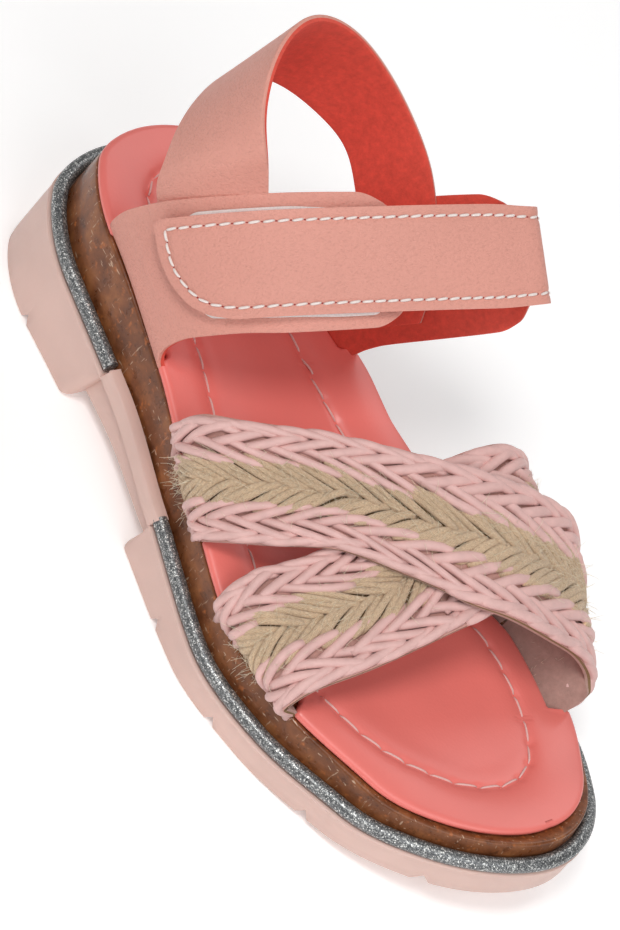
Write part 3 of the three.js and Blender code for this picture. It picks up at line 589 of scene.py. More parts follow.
def capGrid(outer, inner, columns, height=None):
    shares = np.linspace(0, 1, columns + 1)[None, :, None]
    grid = outer[:, None, :] * (1 - shares) + inner[:, None, :] * shares
    if height is not None:
        middle = grid[:, 1:-1]
        middle[..., 2] = height(middle[..., 0] + sole["seat"], middle[..., 1])
    return grid


outsoleSizes = {
    "stations": 170,
    "draft": 0.2,
    "chamfer": 0.8,
    "footRound": 0.4,
    "flare": 0.5,
    "heelEnd": 52.5,
    "heelSlope": 4.5,
    "foreStart": 93.5,
    "foreSlope": 2.5,
    "archGap": 5,
    "waistStep": 3,
    "lipRise": 1.3,
    "waistRound": 0.5,
    "grooves": (0.021, 0.14, 0.547, 0.677, 0.816, 0.94),
    "grooveDepth": 2.4,
    "grooveHalf": 1.6,
    "grooveClear": 0.3,
    "grooveSteps": (-1, -0.5, 0, 0.5, 1),
    "blockClear": 3,
    "waistClear": 0.6,
    "endSteps": (0, 0.15, 0.45, 0.9, 1.5, 2.2, 2.9),
    "edge": 0.35,
    "edgeAngle": 48,
    "capColumns": ((0, 16), (-1, 6)),
    "sideRound": 2.0,
    "cornerRound": 2.6,
}


def outsoleStations(sizes):
    # Columns of the wall: place at the floor, lean to the top, and block or waist
    columns = []
    heelEnd, heelSlope, foreStart, foreSlope = (
        sizes[key] for key in ("heelEnd", "heelSlope", "foreStart", "foreSlope"))
    block, waist = sizes["blockClear"], sizes["waistClear"]
    grooves = [g * sole["length"] for g in sizes["grooves"]]
    reach = sizes["grooveHalf"] + sizes["grooveClear"]
    for turn in np.linspace(0, 1, sizes["stations"]):
        along = float(alongOf(turn))
        nearHeel = heelEnd - block < along < heelEnd + heelSlope + waist
        nearFore = foreStart - waist < along < foreStart + foreSlope + block
        nearGroove = any(abs(along - g) < reach for g in grooves)
        if not (nearHeel or nearFore or nearGroove):
            columns.append((along, 0, heelEnd < along < foreStart))
    for g in grooves:
        columns += [(g + k * sizes["grooveHalf"], 0, False) for k in sizes["grooveSteps"]]
    for back in sizes["endSteps"]:
        ease = float(1 - smoothStep(back, 0, sizes["endSteps"][-1]))
        columns.append((heelEnd - back, heelSlope * ease, False))
        columns.append((foreStart + back, foreSlope * ease, False))
    columns.append((heelEnd + 0.01, heelSlope, True))
    columns.append((foreStart - 0.01, foreSlope, True))
    return sorted(columns)


def roundOff(distance, radius):
    # How far a round of this radius has fallen away at a distance from the corner
    inside = np.clip(radius - distance, 0, radius)
    return float(radius - np.sqrt(radius ** 2 - inside ** 2))


def outsoleLevels(along, lean, inWaist, sizes):
    # Height and inset of each level of the wall, from the floor up
    notch = 0
    for g in sizes["grooves"]:
        reach = abs(along - g * sole["length"]) / sizes["grooveHalf"]
        notch = max(notch, sizes["grooveDepth"] * (1 - reach))
    top = float(outsoleTop(along + lean))
    under = top - sizes["chamfer"]
    if inWaist:
        gap, step = sizes["archGap"], sizes["waistStep"]
        lip = float(pipingHeight(along + lean)) + sizes["lipRise"]
        turn = sizes["waistRound"]
        return [
            (gap, step + turn), (gap + 0.3 * turn, step + 0.3 * turn), (gap + turn, step),
            ((gap + under) / 2, step), (under, step), (under, 0.25), (lip - 0.35, 0.2), (lip, 0.55),
            (lip, 3.6), (top, 4),
        ]
    toEnd = min(abs(along - sizes["heelEnd"]), abs(along - sizes["foreStart"]))
    low = float(groundHeight(along)) + max(0, notch) + roundOff(toEnd, sizes["cornerRound"])
    side = roundOff(toEnd, sizes["sideRound"])
    draft, foot = sizes["draft"] + side, sizes["footRound"]
    flared = draft - sizes["flare"]
    return [
        (low, flared + foot), (low + 0.3 * foot, flared + 0.3 * foot), (low + foot, flared),
        ((low + under) / 2, draft - sizes["flare"] / 2), (under - 0.6, draft), (under, 0),
        (top - 0.3, 0), (top, 0.4), (top, 2), (top, 4),
    ]


def makeOutsole(sizes):
    columns = outsoleStations(sizes)
    walls = {-1: [], 1: []}
    for along, lean, inWaist in columns:
        levels = outsoleLevels(along, lean, inWaist, sizes)
        topHeight = levels[-1][0]
        for side in (-1, 1):
            line = []
            for z, inset in levels:
                at = along + lean * z / topHeight
                flat = outlinePoint(turnOf(at / sole["length"]), side, inset)
                line.append(place(flat[0], flat[1], z))
            walls[side].append(line)
    outer, inner = np.array(walls[-1]), np.array(walls[1])
    grids = [(outer, 0), (inner, 0)]
    grids += [(capGrid(outer[:, k], inner[:, k], columns), 0) for k, columns in sizes["capColumns"]]
    return bevelEdges(fromGrids("outsoleUnit", grids, ["rubber"]), sizes["edge"], 3, sizes["edgeAngle"])


footbedSizes = {
    "ledges": ((0, -0.4), (0.35, -0.8), (0.52, -1.0), (0.68, 0.2), (1, 3.3)),
    "thickness": 2.7,
    "round": 2.7,
    "foot": 0.42,
    "rise": 0.58,
    "stations": 300,
    "columns": 90,
    "bottomColumns": 12,
    "edgeStep": 0.25,
    "seamStep": 0.5,
    "rollAngles": (16, 32, 48, 66),
    "rollReach": 8,
    "seamFades": (11, 21),
    "seamDrop": 0.35,
    "trough": 0.4,
    "troughWidths": (2.6, 0.9),
    "hole": 0.4,
    "holeWidth": 1.0,
    "stitchPitch": 6.6,
    "thread": (0.9, 0.3, 0.12, 0.5),
    "threadLift": 0.12,
}
# Seam of the footbed, from the heel along the outer side, round the toe and back: along and across
footbedSeamRows = [
    (17.4, 1), (19.5, -6.1), (25.5, -11), (45, -13.6), (67.1, -16), (77.7, -18.8), (96, -23.8),
    (113.8, -27.4), (133, -29.4), (153.2, -27.7), (169.6, -20.5), (179.3, -11.5), (186, -2.5), (189, 8),
    (185.8, 18), (178.1, 24), (165, 26.4), (150, 24.2), (130, 17.5), (105, 12.2), (80, 11.2), (55, 12.6),
    (34, 12), (22, 7), (17.4, 1),
]
# The footbed's edge stands further in beside the straps: side, from and to along the sole, depth, blend
edgeDips = [
    (-1, 31.5, 63.5, 3.7, 1),
    (-1, 83, 106.5, 3.8, 1.2),
    (-1, 126.5, 155, 4.8, 1.2),
    (1, 42, 74, 3.7, 1),
    (1, 86, 104, 2.4, 10),
    (1, 127, 176, 5.9, 1.5),
]
ledgeCurve = columnCurve(column(footbedSizes["ledges"], 0), column(footbedSizes["ledges"], 1))


def footbedInset(turn, side):
    # How far the footbed's edge stands inside the outsole's outline
    along = alongOf(turn)
    inset = rimInset + ledgeCurve(turn)
    for dipSide, start, end, depth, blend in edgeDips:
        if dipSide == side:
            rise = smoothStep(along, start - blend, start + blend)
            inset = inset + depth * rise * smoothStep(-along, -end - blend, -end + blend)
    return inset


def evenly(points, pitch):
    lengths = runLengths(points)
    count = max(2, int(round(lengths[-1] / pitch)))
    at = np.linspace(0, lengths[-1], count + 1)
    return np.stack([np.interp(at, lengths, points[:, k]) for k in range(points.shape[1])], -1)


def dent(distance, width):
    return np.exp(-((distance / width) ** 2))


def nearestDistance(points, line):
    tree = KDTree(len(line))
    for i, p in enumerate(line):
        tree.insert((p[0], p[1], 0), i)
    tree.balance()
    return np.array([tree.find((p[0], p[1], 0))[2] for p in points])


def footbedStitchLine():
    rows = np.array(footbedSeamRows, float)
    looped = np.vstack([rows[-3:-1], rows, rows[1:3]])
    overlap = 2 / (len(looped) - 1)
    ts = np.linspace(overlap, 1 - overlap, 3 * footbedSizes["stations"])
    return evenly(splinePoint(looped, ts), footbedSizes["seamStep"])


def footbedEdgeLine():
    # From the heel along the outer side, round the toe and back
    turns = np.linspace(0, 1, 3 * footbedSizes["stations"])
    outer, inner = [outlinePoint(turns, side, footbedInset(turns, side)) for side in (-1, 1)]
    return evenly(np.vstack([outer, inner[::-1][1:]]), footbedSizes["edgeStep"])


def overCork(lift):
    return lambda along, y: corkTopHeight(along, y) + sole["gap"] + lift


def makeFootbed(sizes):
    thickness, radius = sizes["thickness"], sizes["round"]
    low, rise = thickness * sizes["foot"], thickness * sizes["rise"]
    # Inset and height of the side's levels, from the cork up and over the roll
    profile = [(radius / 3, 0), (0.1, thickness * 0.2), (0, low)]
    for angle in np.radians(sizes["rollAngles"]):
        profile.append((radius * (1 - math.cos(angle)), low + rise * math.sin(angle)))
    rollFrom, rollTop = profile[-1]
    levels = []
    for inset, lift in profile:
        levels.append((lambda turn, side, inset=inset: footbedInset(turn, side) + inset, overCork(lift)))
    sides = ringSides(levels, np.linspace(0, 1, sizes["stations"]))
    top = capGrid(sides[-1][-1], sides[1][-1], sizes["columns"], overCork(thickness))
    bottom = capGrid(sides[-1][0], sides[1][0], sizes["bottomColumns"], overCork(0))
    flat = top[:, 1:-1].reshape(-1, 3)
    ground = flat[:, :2] + np.array([sole["seat"], 0])
    seam = footbedStitchLine()
    lines = (seam, evenly(seam, sizes["stitchPitch"]), footbedEdgeLine())
    toStitch, toHole, toEdge = [nearestDistance(ground, line) for line in lines]
    # One convex roll that runs out over rollReach, then the seam's trough and the pits of its holes
    share = 1 - np.clip((toEdge - rollFrom) / sizes["rollReach"], 0, 1)
    rollSlope = rise * math.cos(angle) / (radius * math.sin(angle))
    rollHeight = rollSlope * sizes["rollReach"] / 2
    flat[:, 2] += rollTop - thickness + rollHeight * (1 - share ** 2)
    flat[:, 2] -= sizes["trough"] * sum(dent(toStitch, width) for width in sizes["troughWidths"])
    flat[:, 2] -= sizes["hole"] * dent(toHole, sizes["holeWidth"])
    flat[:, 2] -= sizes["seamDrop"] * smoothStep(toEdge, *sizes["seamFades"])
    top[:, 1:-1] = flat.reshape(top[:, 1:-1].shape)
    grids = [(sides[-1], 0), (sides[1], 0), (top, 0), (bottom, 0)]
    return fromGrids("paddedFootbed", grids, ["footbed"], None)


corkSizes = {
    "round": 0.9,
    "roundAngles": (0, 22, 45, 68, 90),
    "stations": 220,
    "steps": 10,
    "shelf": 2.2,
    "topColumns": 16,
    "baseColumns": 6,
}


def makeCork(sizes):
    edge, half = sizes["round"], sole["piping"] / 2
    levels = [
        (corkInset, lambda a, y: outsoleTop(a) + sole["gap"]),
        (corkInset, lambda a, y: pipingHeight(a) + half),
    ]
    for k in range(1, sizes["steps"]):
        share = k / sizes["steps"]

        def height(a, y, share=share):
            low = pipingHeight(a) + half
            return low + (rimHeight(a, y) - edge - low) * share

        levels.append((corkInset + (rimInset - edge / 2 - corkInset) * share, height))
    for angle in np.radians(sizes["roundAngles"]):
        inset = rimInset - edge / 2 + edge * (1 - math.cos(angle))
        drop = edge * (1 - math.sin(angle))
        levels.append((inset, lambda a, y, drop=drop: rimHeight(a, y) - drop))
    levels.append((rimInset + sizes["shelf"], corkTopHeight))
    sides = ringSides(levels, np.linspace(0, 1, sizes["stations"]))
    top = capGrid(sides[-1][-1], sides[1][-1], sizes["topColumns"], corkTopHeight)
    base = capGrid(sides[-1][0], sides[1][0], sizes["baseColumns"])
    return fromGrids("corkWedge", [(sides[-1], 0), (sides[1], 0), (top, 0), (base, 0)], ["cork"], 50)


def ringWays(path, angles):
    # Unit directions round a path, a ring of them at each of its points
    tangents = unit(np.gradient(path, axis=0))
    across = unit(np.cross(tangents, np.array([0.0, 0.0, 1.0])))
    normal = np.cross(across, tangents)
    return across[:, None] * np.cos(angles)[None, :, None] + normal[:, None] * np.sin(angles)[None, :, None]


pipingSizes = {"heelEnd": 56.2, "foreStart": 95.8, "sides": 18, "step": 1.4, "tip": 0.01, "tipReach": 0.2}


def makePiping(name, node, fromAlong, endTurn, count):
    radius = sole["piping"] / 2
    fromTurn = float(turnOf(fromAlong / sole["length"]))
    sweep = np.linspace(-1, 1, count)
    turns = endTurn + (fromTurn - endTurn) * np.abs(sweep)
    inset = np.full(count, sole["pipingEdge"] + radius)
    flat = np.where(sweep[:, None] < 0, outlinePoint(turns, -1, inset), outlinePoint(turns, 1, inset))
    path = evenly(place(flat[:, 0], flat[:, 1], pipingHeight(flat[:, 0])), pipingSizes["step"])
    ends = np.vstack([path[:1], path, path[-1:]])
    radii = np.concatenate([[pipingSizes["tip"]], np.full(len(path), radius), [pipingSizes["tip"]]])
    ends[0] += (path[0] - path[1]) * pipingSizes["tipReach"]
    ends[-1] += (path[-1] - path[-2]) * pipingSizes["tipReach"]
    ring = ringWays(ends, np.linspace(0, 2 * np.pi, pipingSizes["sides"] + 1))
    grid = ends[:, None] + ring * radii[:, None, None]
    finishPiece(fromGrids(name, [(grid, 0)], ["glitter"], 60), "glitter", node)


def makeFootbedStitches(footbed):
    sizes = footbedSizes
    ends = evenly(footbedStitchLine(), sizes["stitchPitch"])
    way = np.diff(ends, axis=0)
    way = np.hstack([unit(way), np.zeros((len(way), 1))])
    centres, outs = [], []
    for x, y in (ends[1:] + ends[:-1]) / 2:
        start = Vector(((x - sole["seat"]) * mm, y * mm, 0.2))
        hit, at, normal, face = footbed.ray_cast(start, Vector((0, 0, -1)))
        centres.append(np.array(at) / mm + np.array([0, 0, sizes["threadLift"]]))
        outs.append(normal)
    way -= np.array(outs) * np.sum(way * np.array(outs), axis=1, keepdims=True)
    length, *shape = sizes["thread"]
    stitch = threadShape("footbedThread", sizes["stitchPitch"] * length, *shape)
    return makeRow("footbedStitches", centres, way, outs, stitch, "softThread", looseness=0.03, seed=8)


finishPiece(makeOutsole(outsoleSizes), "rubber", "outsole")
footbed = finishPiece(makeFootbed(footbedSizes), "footbed", "footbed")
finishPiece(makeCork(corkSizes), "cork", "cork_midsole")
makePiping("heelPipingCord", "heel_piping", pipingSizes["heelEnd"], 0, 240)
makePiping("forefootPipingCord", "forefoot_piping", pipingSizes["foreStart"], 1, 320)
print("sole made")

# Leather straps
bandSizes = {
    "along": 42,
    "tilt": 30,
    "shear": 0.2,
    "width": 33,
    "height": 60.5,
    "quarter": 1.8,
    "closureWidth": 25,
    "closure": 1.8,
    "tapeWidth": 23,
    "tape": 1,
    "strap": 1.8,
    "strapRise": 63,
    "root": 7,
    "reach": 0.13,
    "edge": 0.35,
    "tapeEdge": 0.2,
    "edgeAngle": 50,
    "tapeFade": (0.45, 0.62),
    "quarterGrid": (110, 44),
    "closureGrid": (230, 56),
    "tapeGrid": (60, 24),
}
# The band's middle line seen along the foot: across as shares of half the width, up as shares of the height
loopRows = [
    (-0.97, 0), (-1.065, 0.055), (-1.115, 0.2), (-1.06, 0.397), (-0.855, 0.57), (-0.52, 0.7), (0.297, 0.851),
    (0.93, 0.934), (1.5, 0.985), (1.79, 0.99), (1.86, 0.93), (1.77, 0.85), (1.57, 0.765),
    (1.385, 0.65), (1.227, 0.463), (1.105, 0.248), (0.97, 0),
]
# Turn along the band, then the rear and front edges as shares of the width
outerQuarterRows = [
    (0, -0.37, 0.72), (0.073, -0.48, 0.54), (0.135, -0.5, 0.49), (0.203, -0.5, 0.485),
    (0.27, -0.5, 0.5), (0.38, -0.49, 0.49), (0.417, -0.4, 0.4), (0.437, -0.2, 0.2),
]
innerQuarterRows = [
    (0.66, -0.3, 0.33), (0.678, -0.42, 0.46), (0.71, -0.49, 0.53), (0.787, -0.5, 0.55),
    (0.865, -0.5, 0.56), (0.932, -0.48, 0.59), (1, -0.36, 0.65),
]
closureRows = [
    (0.117, -0.44, -0.17), (0.122, -0.485, 0.0), (0.135, -0.5, 0.19), (0.155, -0.5, 0.36),
    (0.18, -0.5, 0.455), (0.215, -0.5, 0.5), (0.55, -0.5, 0.5), (0.66, -0.46, 0.46), (0.787, -0.46, 0.46),
    (0.816, -0.38, 0.38),
]
tapeRows = [
    (0.15, -0.5, 0.36), (0.175, -0.575, 0.52), (0.28, -0.575, 0.56), (0.34, -0.545, 0.575),
    (0.38, -0.52, 0.57), (0.395, -0.48, 0.5),
]
# The heel strap's ends on the quarters: turns of its low and high edge, and width
outerTabRows = [(0.164, 0.208, 0.36), (0.13, 0.237, 0.22), (0.11, 0.256, -0.1), (0.098, 0.269, -0.56)]
innerTabRows = [(0.872, 0.756, -0.56), (0.872, 0.768, -0.1), (0.875, 0.782, 0.2), (0.855, 0.807, 0.42)]
heelStrapRows = [
    # low edge along, across, up; high edge along, across, up
    (0.146, -0.43, 0.41, 0.226, -0.32, 0.78),
    (0.118, -0.362, 0.5, 0.189, -0.355, 0.9),
    (0.088, -0.21, 0.56, 0.138, -0.27, 1.045),
    (0.067, 0.015, 0.575, 0.095, 0.015, 1.055),
    (0.084, 0.225, 0.54, 0.112, 0.27, 0.97),
    (0.125, 0.375, 0.49, 0.158, 0.435, 0.85),
    (0.172, 0.475, 0.44, 0.212, 0.535, 0.73),
]

bandHalf = float(rimHalfAt(bandSizes["along"]))
tilt = math.radians(bandSizes["tilt"])
loopPoints = np.array([(a * bandHalf, u * bandSizes["height"]) for a, u in loopRows])
loopAts = np.linspace(0, 1, 201)
loopLine = splinePoint(loopPoints, loopAts)
loopLengths = runLengths(loopLine)
loopLength = float(loopLengths[-1])
bandBase = float(rimHeight(bandSizes["along"], -bandHalf))


def bandAlongAt(across, up, width):
    shear = bandSizes["shear"] * (across + bandHalf)
    return bandSizes["along"] + up * math.sin(tilt) + width * math.cos(tilt) + shear


def rimCrossing(across, width):
    up = np.zeros_like(across)
    for _ in range(8):
        along = bandAlongAt(across, up, width)
        rim = rimHeight(along, swingAt(along) + np.sign(across) * rimHalfAt(along))
        up = (rim - bandBase + width * math.sin(tilt)) / math.cos(tilt)
    return up


def bandPoint(turn, width):
    turn, width = np.broadcast_arrays(np.asarray(turn, float), np.asarray(width, float))
    inside = np.clip(turn, 0, 1)
    past = np.abs(turn - inside) * loopLength
    flat = splinePoint(loopPoints, np.interp(inside * loopLength, loopLengths, loopAts))
    nearRim = np.maximum(0, 1 - np.minimum(inside, 1 - inside) / bandSizes["reach"])
    across = flat[..., 0]
    up = flat[..., 1] - past + nearRim * rimCrossing(across, width)
    along = bandAlongAt(across, up, width)
    half = bandHalf + (rimHalfAt(along) - bandHalf) * nearRim
    y = swingAt(along) + across / bandHalf * half
    return place(along, y, bandBase + up * math.cos(tilt) - width * math.sin(tilt))


def bandSurface(turn, width, out):
    step = 1 / loopLength
    lengthwise = bandPoint(turn + step, width) - bandPoint(turn - step, width)
    widthwise = bandPoint(turn, width + 1) - bandPoint(turn, width - 1)
    outward = -unit(np.cross(lengthwise, widthwise))
    return bandPoint(turn, width) + outward * np.asarray(out, float)[..., None]


def edgeCurves(rows, width):
    turns = column(rows, 0)
    return turns, [columnCurve(turns, [r[k] * width for r in rows]) for k in (1, 2)]


def bandPlaces(rows, width, grid, before=0, after=0):
    steps, columns = grid
    turns, (rear, front) = edgeCurves(rows, width)
    at = np.linspace(turns[0] - before / loopLength, turns[-1] + after / loopLength, steps)
    held = np.clip(at, turns[0], turns[-1])
    shares = np.linspace(0, 1, columns)[None, :]
    widths = rear(held)[:, None] * (1 - shares) + front(held)[:, None] * shares
    return np.broadcast_to(at[:, None], widths.shape), widths


def shellGrids(outer, inner, outerSlot, innerSlot):
    # Both faces of a wall, and its four edges split half and half between the two finishes
    grids = [(outer, outerSlot), (inner, innerSlot)]
    for pick in (lambda g: g[0], lambda g: g[-1], lambda g: g[:, 0], lambda g: g[:, -1]):
        a, b = pick(outer), pick(inner)
        middle = (a + b) / 2
        grids += [(np.array([a, middle]), outerSlot), (np.array([middle, b]), innerSlot)]
    return grids


def makeWall(name, outer, inner, looks=("leather", "lining"), edge=bandSizes["edge"], segments=3):
    obj = fromGrids(name, shellGrids(outer, inner, 0, len(looks) - 1), looks, strapSharp)
    return bevelEdges(obj, edge, segments, bandSizes["edgeAngle"])


def softCreases(turn, width, rows):
    # Troughs and ridges given one by one: turn, width, length, breadth, slant, depth
    depth = np.zeros_like(turn)
    for atTurn, atWidth, length, breadth, slant, amount in rows:
        s = (turn - atTurn) * loopLength
        w = width - atWidth
        u = s * math.cos(slant) + w * math.sin(slant)
        v = -s * math.sin(slant) + w * math.cos(slant)
        depth += amount * np.exp(-((u / length) ** 2) - (v / breadth) ** 2)
    return depth


quarterCreases = [
    (0.06, 6, 9, 2.2, 1.3, -0.35), (0.075, -5, 10, 2.5, 1.5, 0.3), (0.1, 12, 8, 2.0, 0.9, -0.3),
    (0.3, 14, 14, 2.0, 0.1, 0.2), (0.25, 13.5, 10, 1.6, 0.3, -0.25),
]


def makeQuarter(name, rows, before, after, creases):
    turn, width = bandPlaces(rows, bandSizes["width"], bandSizes["quarterGrid"], before, after)
    dents = softCreases(turn, width, creases)
    inner = bandSurface(turn, width, dents - bandSizes["quarter"])
    return makeWall(name, bandSurface(turn, width, dents), inner)


overTape = sole["gap"] * 2 + bandSizes["tape"]
stitchSizes = {
    "inset": 2.6,
    "pitch": 3.05,
    "trough": 0.3,
    "spread": 0.75,
    "frontEnd": 0.715,
    "rearEnd": 0.7,
    "step": 0.4,
    "thread": (0.84, 0.36, 0.13, 0.35),
    "threadLift": 0.02,
    "holeDrop": 0.22,
    "holeRadius": 0.4,
}


def closureLift(turn):
    return overTape + (sole["gap"] - overTape) * smoothStep(turn, *bandSizes["tapeFade"])


def closureStitchLine():
    # In the strap's flat plane: distance along the band and width
    turns, (rear, front) = edgeCurves(closureRows, bandSizes["closureWidth"])
    inset = stitchSizes["inset"]
    start = turns[0] * loopLength + inset
    ahead = np.linspace(turns[0], stitchSizes["frontEnd"], 700)
    line = np.stack([ahead * loopLength, front(ahead)], -1)
    way = unit(np.gradient(line, axis=0))
    offset = line + np.stack([way[:, 1], -way[:, 0]], -1) * inset
    offset = offset[offset[:, 0] > start]
    back = np.linspace(start, stitchSizes["rearEnd"] * loopLength, 300)
    top = np.stack([back, rear(back / loopLength) + inset], -1)[::-1]
    return [evenly(seam, stitchSizes["step"]) for seam in (top, np.vstack([top[-1:], offset]))]


def makeClosure():
    turn, width = bandPlaces(closureRows, bandSizes["closureWidth"], bandSizes["closureGrid"])
    flat = np.stack([turn.ravel() * loopLength, width.ravel()], -1)
    away = nearestDistance(flat, np.vstack(closureStitchLine())).reshape(turn.shape)
    dents = -stitchSizes["trough"] * dent(away, stitchSizes["spread"])
    lift = closureLift(turn)
    outer = bandSurface(turn, width, lift + bandSizes["closure"] + dents)
    return makeWall("stitchedClosure", outer, bandSurface(turn, width, lift))


def makeTape():
    turn, width = bandPlaces(tapeRows, bandSizes["tapeWidth"], bandSizes["tapeGrid"])
    inner = np.full_like(width, sole["gap"])
    walls = [bandSurface(turn, width, out) for out in (inner + bandSizes["tape"], inner)]
    return makeWall("hookTapeWoven", *walls, ("tape",), bandSizes["tapeEdge"], 2)


strapSteps = {"tab": 16, "free": 90, "columns": 22, "blend": 0.3, "tabRows": 7, "softening": 40}


def tabRowsGrid(rows, shares, steps):
    ats = np.linspace(0, 1, len(rows))
    t = np.linspace(0, 1, steps + 1)
    low = columnCurve(ats, column(rows, 0))(t)[:, None]
    high = columnCurve(ats, column(rows, 1))(t)[:, None]
    width = columnCurve(ats, [r[2] * bandSizes["width"] for r in rows])(t)[:, None]
    turn = low + (high - low) * shares[None, :]
    inside = -(bandSizes["quarter"] + sole["gap"])
    return bandSurface(turn, np.broadcast_to(width, turn.shape), np.full_like(turn, inside))


def heelStrapGrid():
    shares = np.linspace(0, 1, strapSteps["columns"])
    tabs = (outerTabRows, innerTabRows)
    start, end = [tabRowsGrid(rows, shares, strapSteps["tab"]) for rows in tabs]
    first, last = [tabRowsGrid(rows, shares, strapSteps["tabRows"]) for rows in tabs]
    edges = []
    for k, edge in ((0, 0), (3, -1)):
        along, across, up = [np.array(column(heelStrapRows, k + n)) for n in range(3)]
        up = sole["heelHeight"] + up * bandSizes["strapRise"]
        free = place(along * sole["length"], across * sole["heel"], up)
        edges.append(np.vstack([first[-2:, edge], free, last[:2, edge]]))
    edgeShare = 1 / (len(heelStrapRows) + 3)
    t = np.linspace(0, 1, strapSteps["free"] + 1)[1:-1]
    low, high = [splinePoint(points, edgeShare + (1 - 2 * edgeShare) * t) for points in edges]
    free = low[:, None] * (1 - shares[None, :, None]) + high[:, None] * shares[None, :, None]
    for joint, reach in ((start[-1], t), (end[0], 1 - t)):
        bow = joint - (joint[0] * (1 - shares[:, None]) + joint[-1] * shares[:, None])
        free += bow[None] * (1 - smoothStep(reach, 0, strapSteps["blend"]))[:, None, None]
    return np.concatenate([start, free, end])


def makeHeelStrap():
    grid = heelStrapGrid()
    for _ in range(strapSteps["softening"]):
        grid[1:-1] = grid[1:-1] * 0.5 + (grid[:-2] + grid[2:]) * 0.25
    return makeWall("heelStrapLeather", grid, grid - outwardNormals(grid) * bandSizes["strap"])


# Rows of repeated shapes, made with Geometry Nodes
def startTree(name, **sockets):
    tree = bpy.data.node_groups.new(name, "GeometryNodeTree")
    for way in ("INPUT", "OUTPUT"):
        tree.interface.new_socket(name="Geometry", in_out=way, socket_type="NodeSocketGeometry")
    for key, kind in sockets.items():
        tree.interface.new_socket(name=key, in_out="INPUT", socket_type="NodeSocket" + kind)
    return tree, tree.nodes.new("NodeGroupInput").outputs


def dressTree(tree, geometry, finish):
    real = addNode(tree, "GeometryNodeRealizeInstances", {"Geometry": geometry}).outputs[0]
    return addNode(tree, "GeometryNodeSetMaterial", {"Geometry": real, "Material": finish}).outputs[0]


def endTree(tree, geometry):
    addNode(tree, "NodeGroupOutput", {0: geometry})
    return tree


def attributeOf(tree, name):
    node = addNode(tree, "GeometryNodeInputNamedAttribute", {"Name": name}, data_type="FLOAT_VECTOR")
    return node.outputs[0]


def randomVector(tree, low, high, seed):
    inputs = {0: low, 1: high, "Seed": seed}
    return addNode(tree, "FunctionNodeRandomValue", inputs, data_type="FLOAT_VECTOR").outputs[0]


def eitherWay(tree, size, seed):
    return randomVector(tree, tuple(-v for v in size), size, seed)


def turnedBy(tree, rotation, euler):
    extra = addNode(tree, "FunctionNodeEulerToRotation", {"Euler": euler}).outputs[0]
    inputs = {"Rotation": rotation, "Rotate By": extra}
    return addNode(tree, "FunctionNodeRotateRotation", inputs, rotation_space="LOCAL").outputs[0]


def vectorMath(tree, operation, first, second=None, scale=None):
    inputs = {0: first, 1: second, "Scale": scale}
    given = {key: value for key, value in inputs.items() if value is not None}
    return addNode(tree, "ShaderNodeVectorMath", given, operation=operation).outputs[0]


def addTree(obj, tree, **values):
    modifier = obj.modifiers.new("made", "NODES")
    modifier.node_group = tree
    for item in tree.interface.items_tree:
        if item.in_out == "INPUT" and item.name in values:
            modifier[item.identifier] = values[item.name]


def tubeObject(name, path, radii, sides, look, lobes=0, twist=0.0):
    # Tube round a path, closed at both ends, with lengths as UV; lobes make it a twisted yarn
    rings = len(path)
    lengths = runLengths(path)
    angles = np.linspace(0, 2 * np.pi, sides, endpoint=False)
    radius = radii[:, None] * np.ones(sides)[None, :]
    if lobes:
        spin = lobes * (angles[None, :] + twist * lengths[:, None]) / 2
        radius = radius * (0.86 + 0.14 * np.abs(np.cos(spin)) ** 0.7)
    points = (path[:, None] + ringWays(path, angles) * radius[..., None]).reshape(-1, 3)
    faces, uvs = [], []
    around = 2 * np.pi * radii.max() / sides
    for i in range(rings - 1):
        low, high = lengths[i], lengths[i + 1]
        for j in range(sides):
            k = (j + 1) % sides
            faces.append((i * sides + j, i * sides + k, (i + 1) * sides + k, (i + 1) * sides + j))
            uvs += [(low, j * around), (low, (j + 1) * around), (high, (j + 1) * around), (high, j * around)]
    for base, order, at in ((0, -1, 0), ((rings - 1) * sides, 1, -1)):
        faces.append([base + j for j in range(sides)][::order])
        uvs += [(lengths[at], 0)] * sides
    obj = meshObject(name, points, faces, [finishes[look]])
    layer = obj.data.uv_layers.new(name="strand")
    layer.data.foreach_set("uv", np.array(uvs, float).ravel())
    cleanMesh(obj.data, False)
    return obj


def stitchTree():
    # Sets one shape on each point, along the seam and off the surface
    tree, given = startTree("stitchRow", Shape="Object", Looseness="Float", Seed="Int", Finish="Material")
    along = addNode(tree, "FunctionNodeAlignRotationToVector", {"Vector": attributeOf(tree, "way")}, axis="X")
    upright = addNode(tree, "FunctionNodeAlignRotationToVector", {
        "Rotation": along.outputs[0],
        "Vector": attributeOf(tree, "outward"),
    }, axis="Z", pivot_axis="X")
    sway = eitherWay(tree, (1, 0.4, 1), given["Seed"])
    loose = vectorMath(tree, "SCALE", sway, scale=given["Looseness"])
    shape = addNode(tree, "GeometryNodeObjectInfo", {"Object": given["Shape"]})
    copies = addNode(tree, "GeometryNodeInstanceOnPoints", {
        "Points": given["Geometry"],
        "Instance": shape.outputs["Geometry"],
        "Rotation": turnedBy(tree, upright.outputs[0], loose),
    })
    return endTree(tree, dressTree(tree, copies.outputs[0], given["Finish"]))


stitchRow = stitchTree()


def makeRow(name, centres, ways, outs, shape, look, looseness=0.05, seed=3):
    obj = meshObject(name, centres)
    for key, vectors in (("way", ways), ("outward", outs)):
        layer = obj.data.attributes.new(key, "FLOAT_VECTOR", "POINT")
        layer.data.foreach_set("vector", np.asarray(vectors, np.float32).ravel())
    addTree(obj, stitchRow, Shape=shape, Looseness=looseness, Seed=seed, Finish=finishes[look])
    settle(obj)
    dropObjects([shape])
    return obj


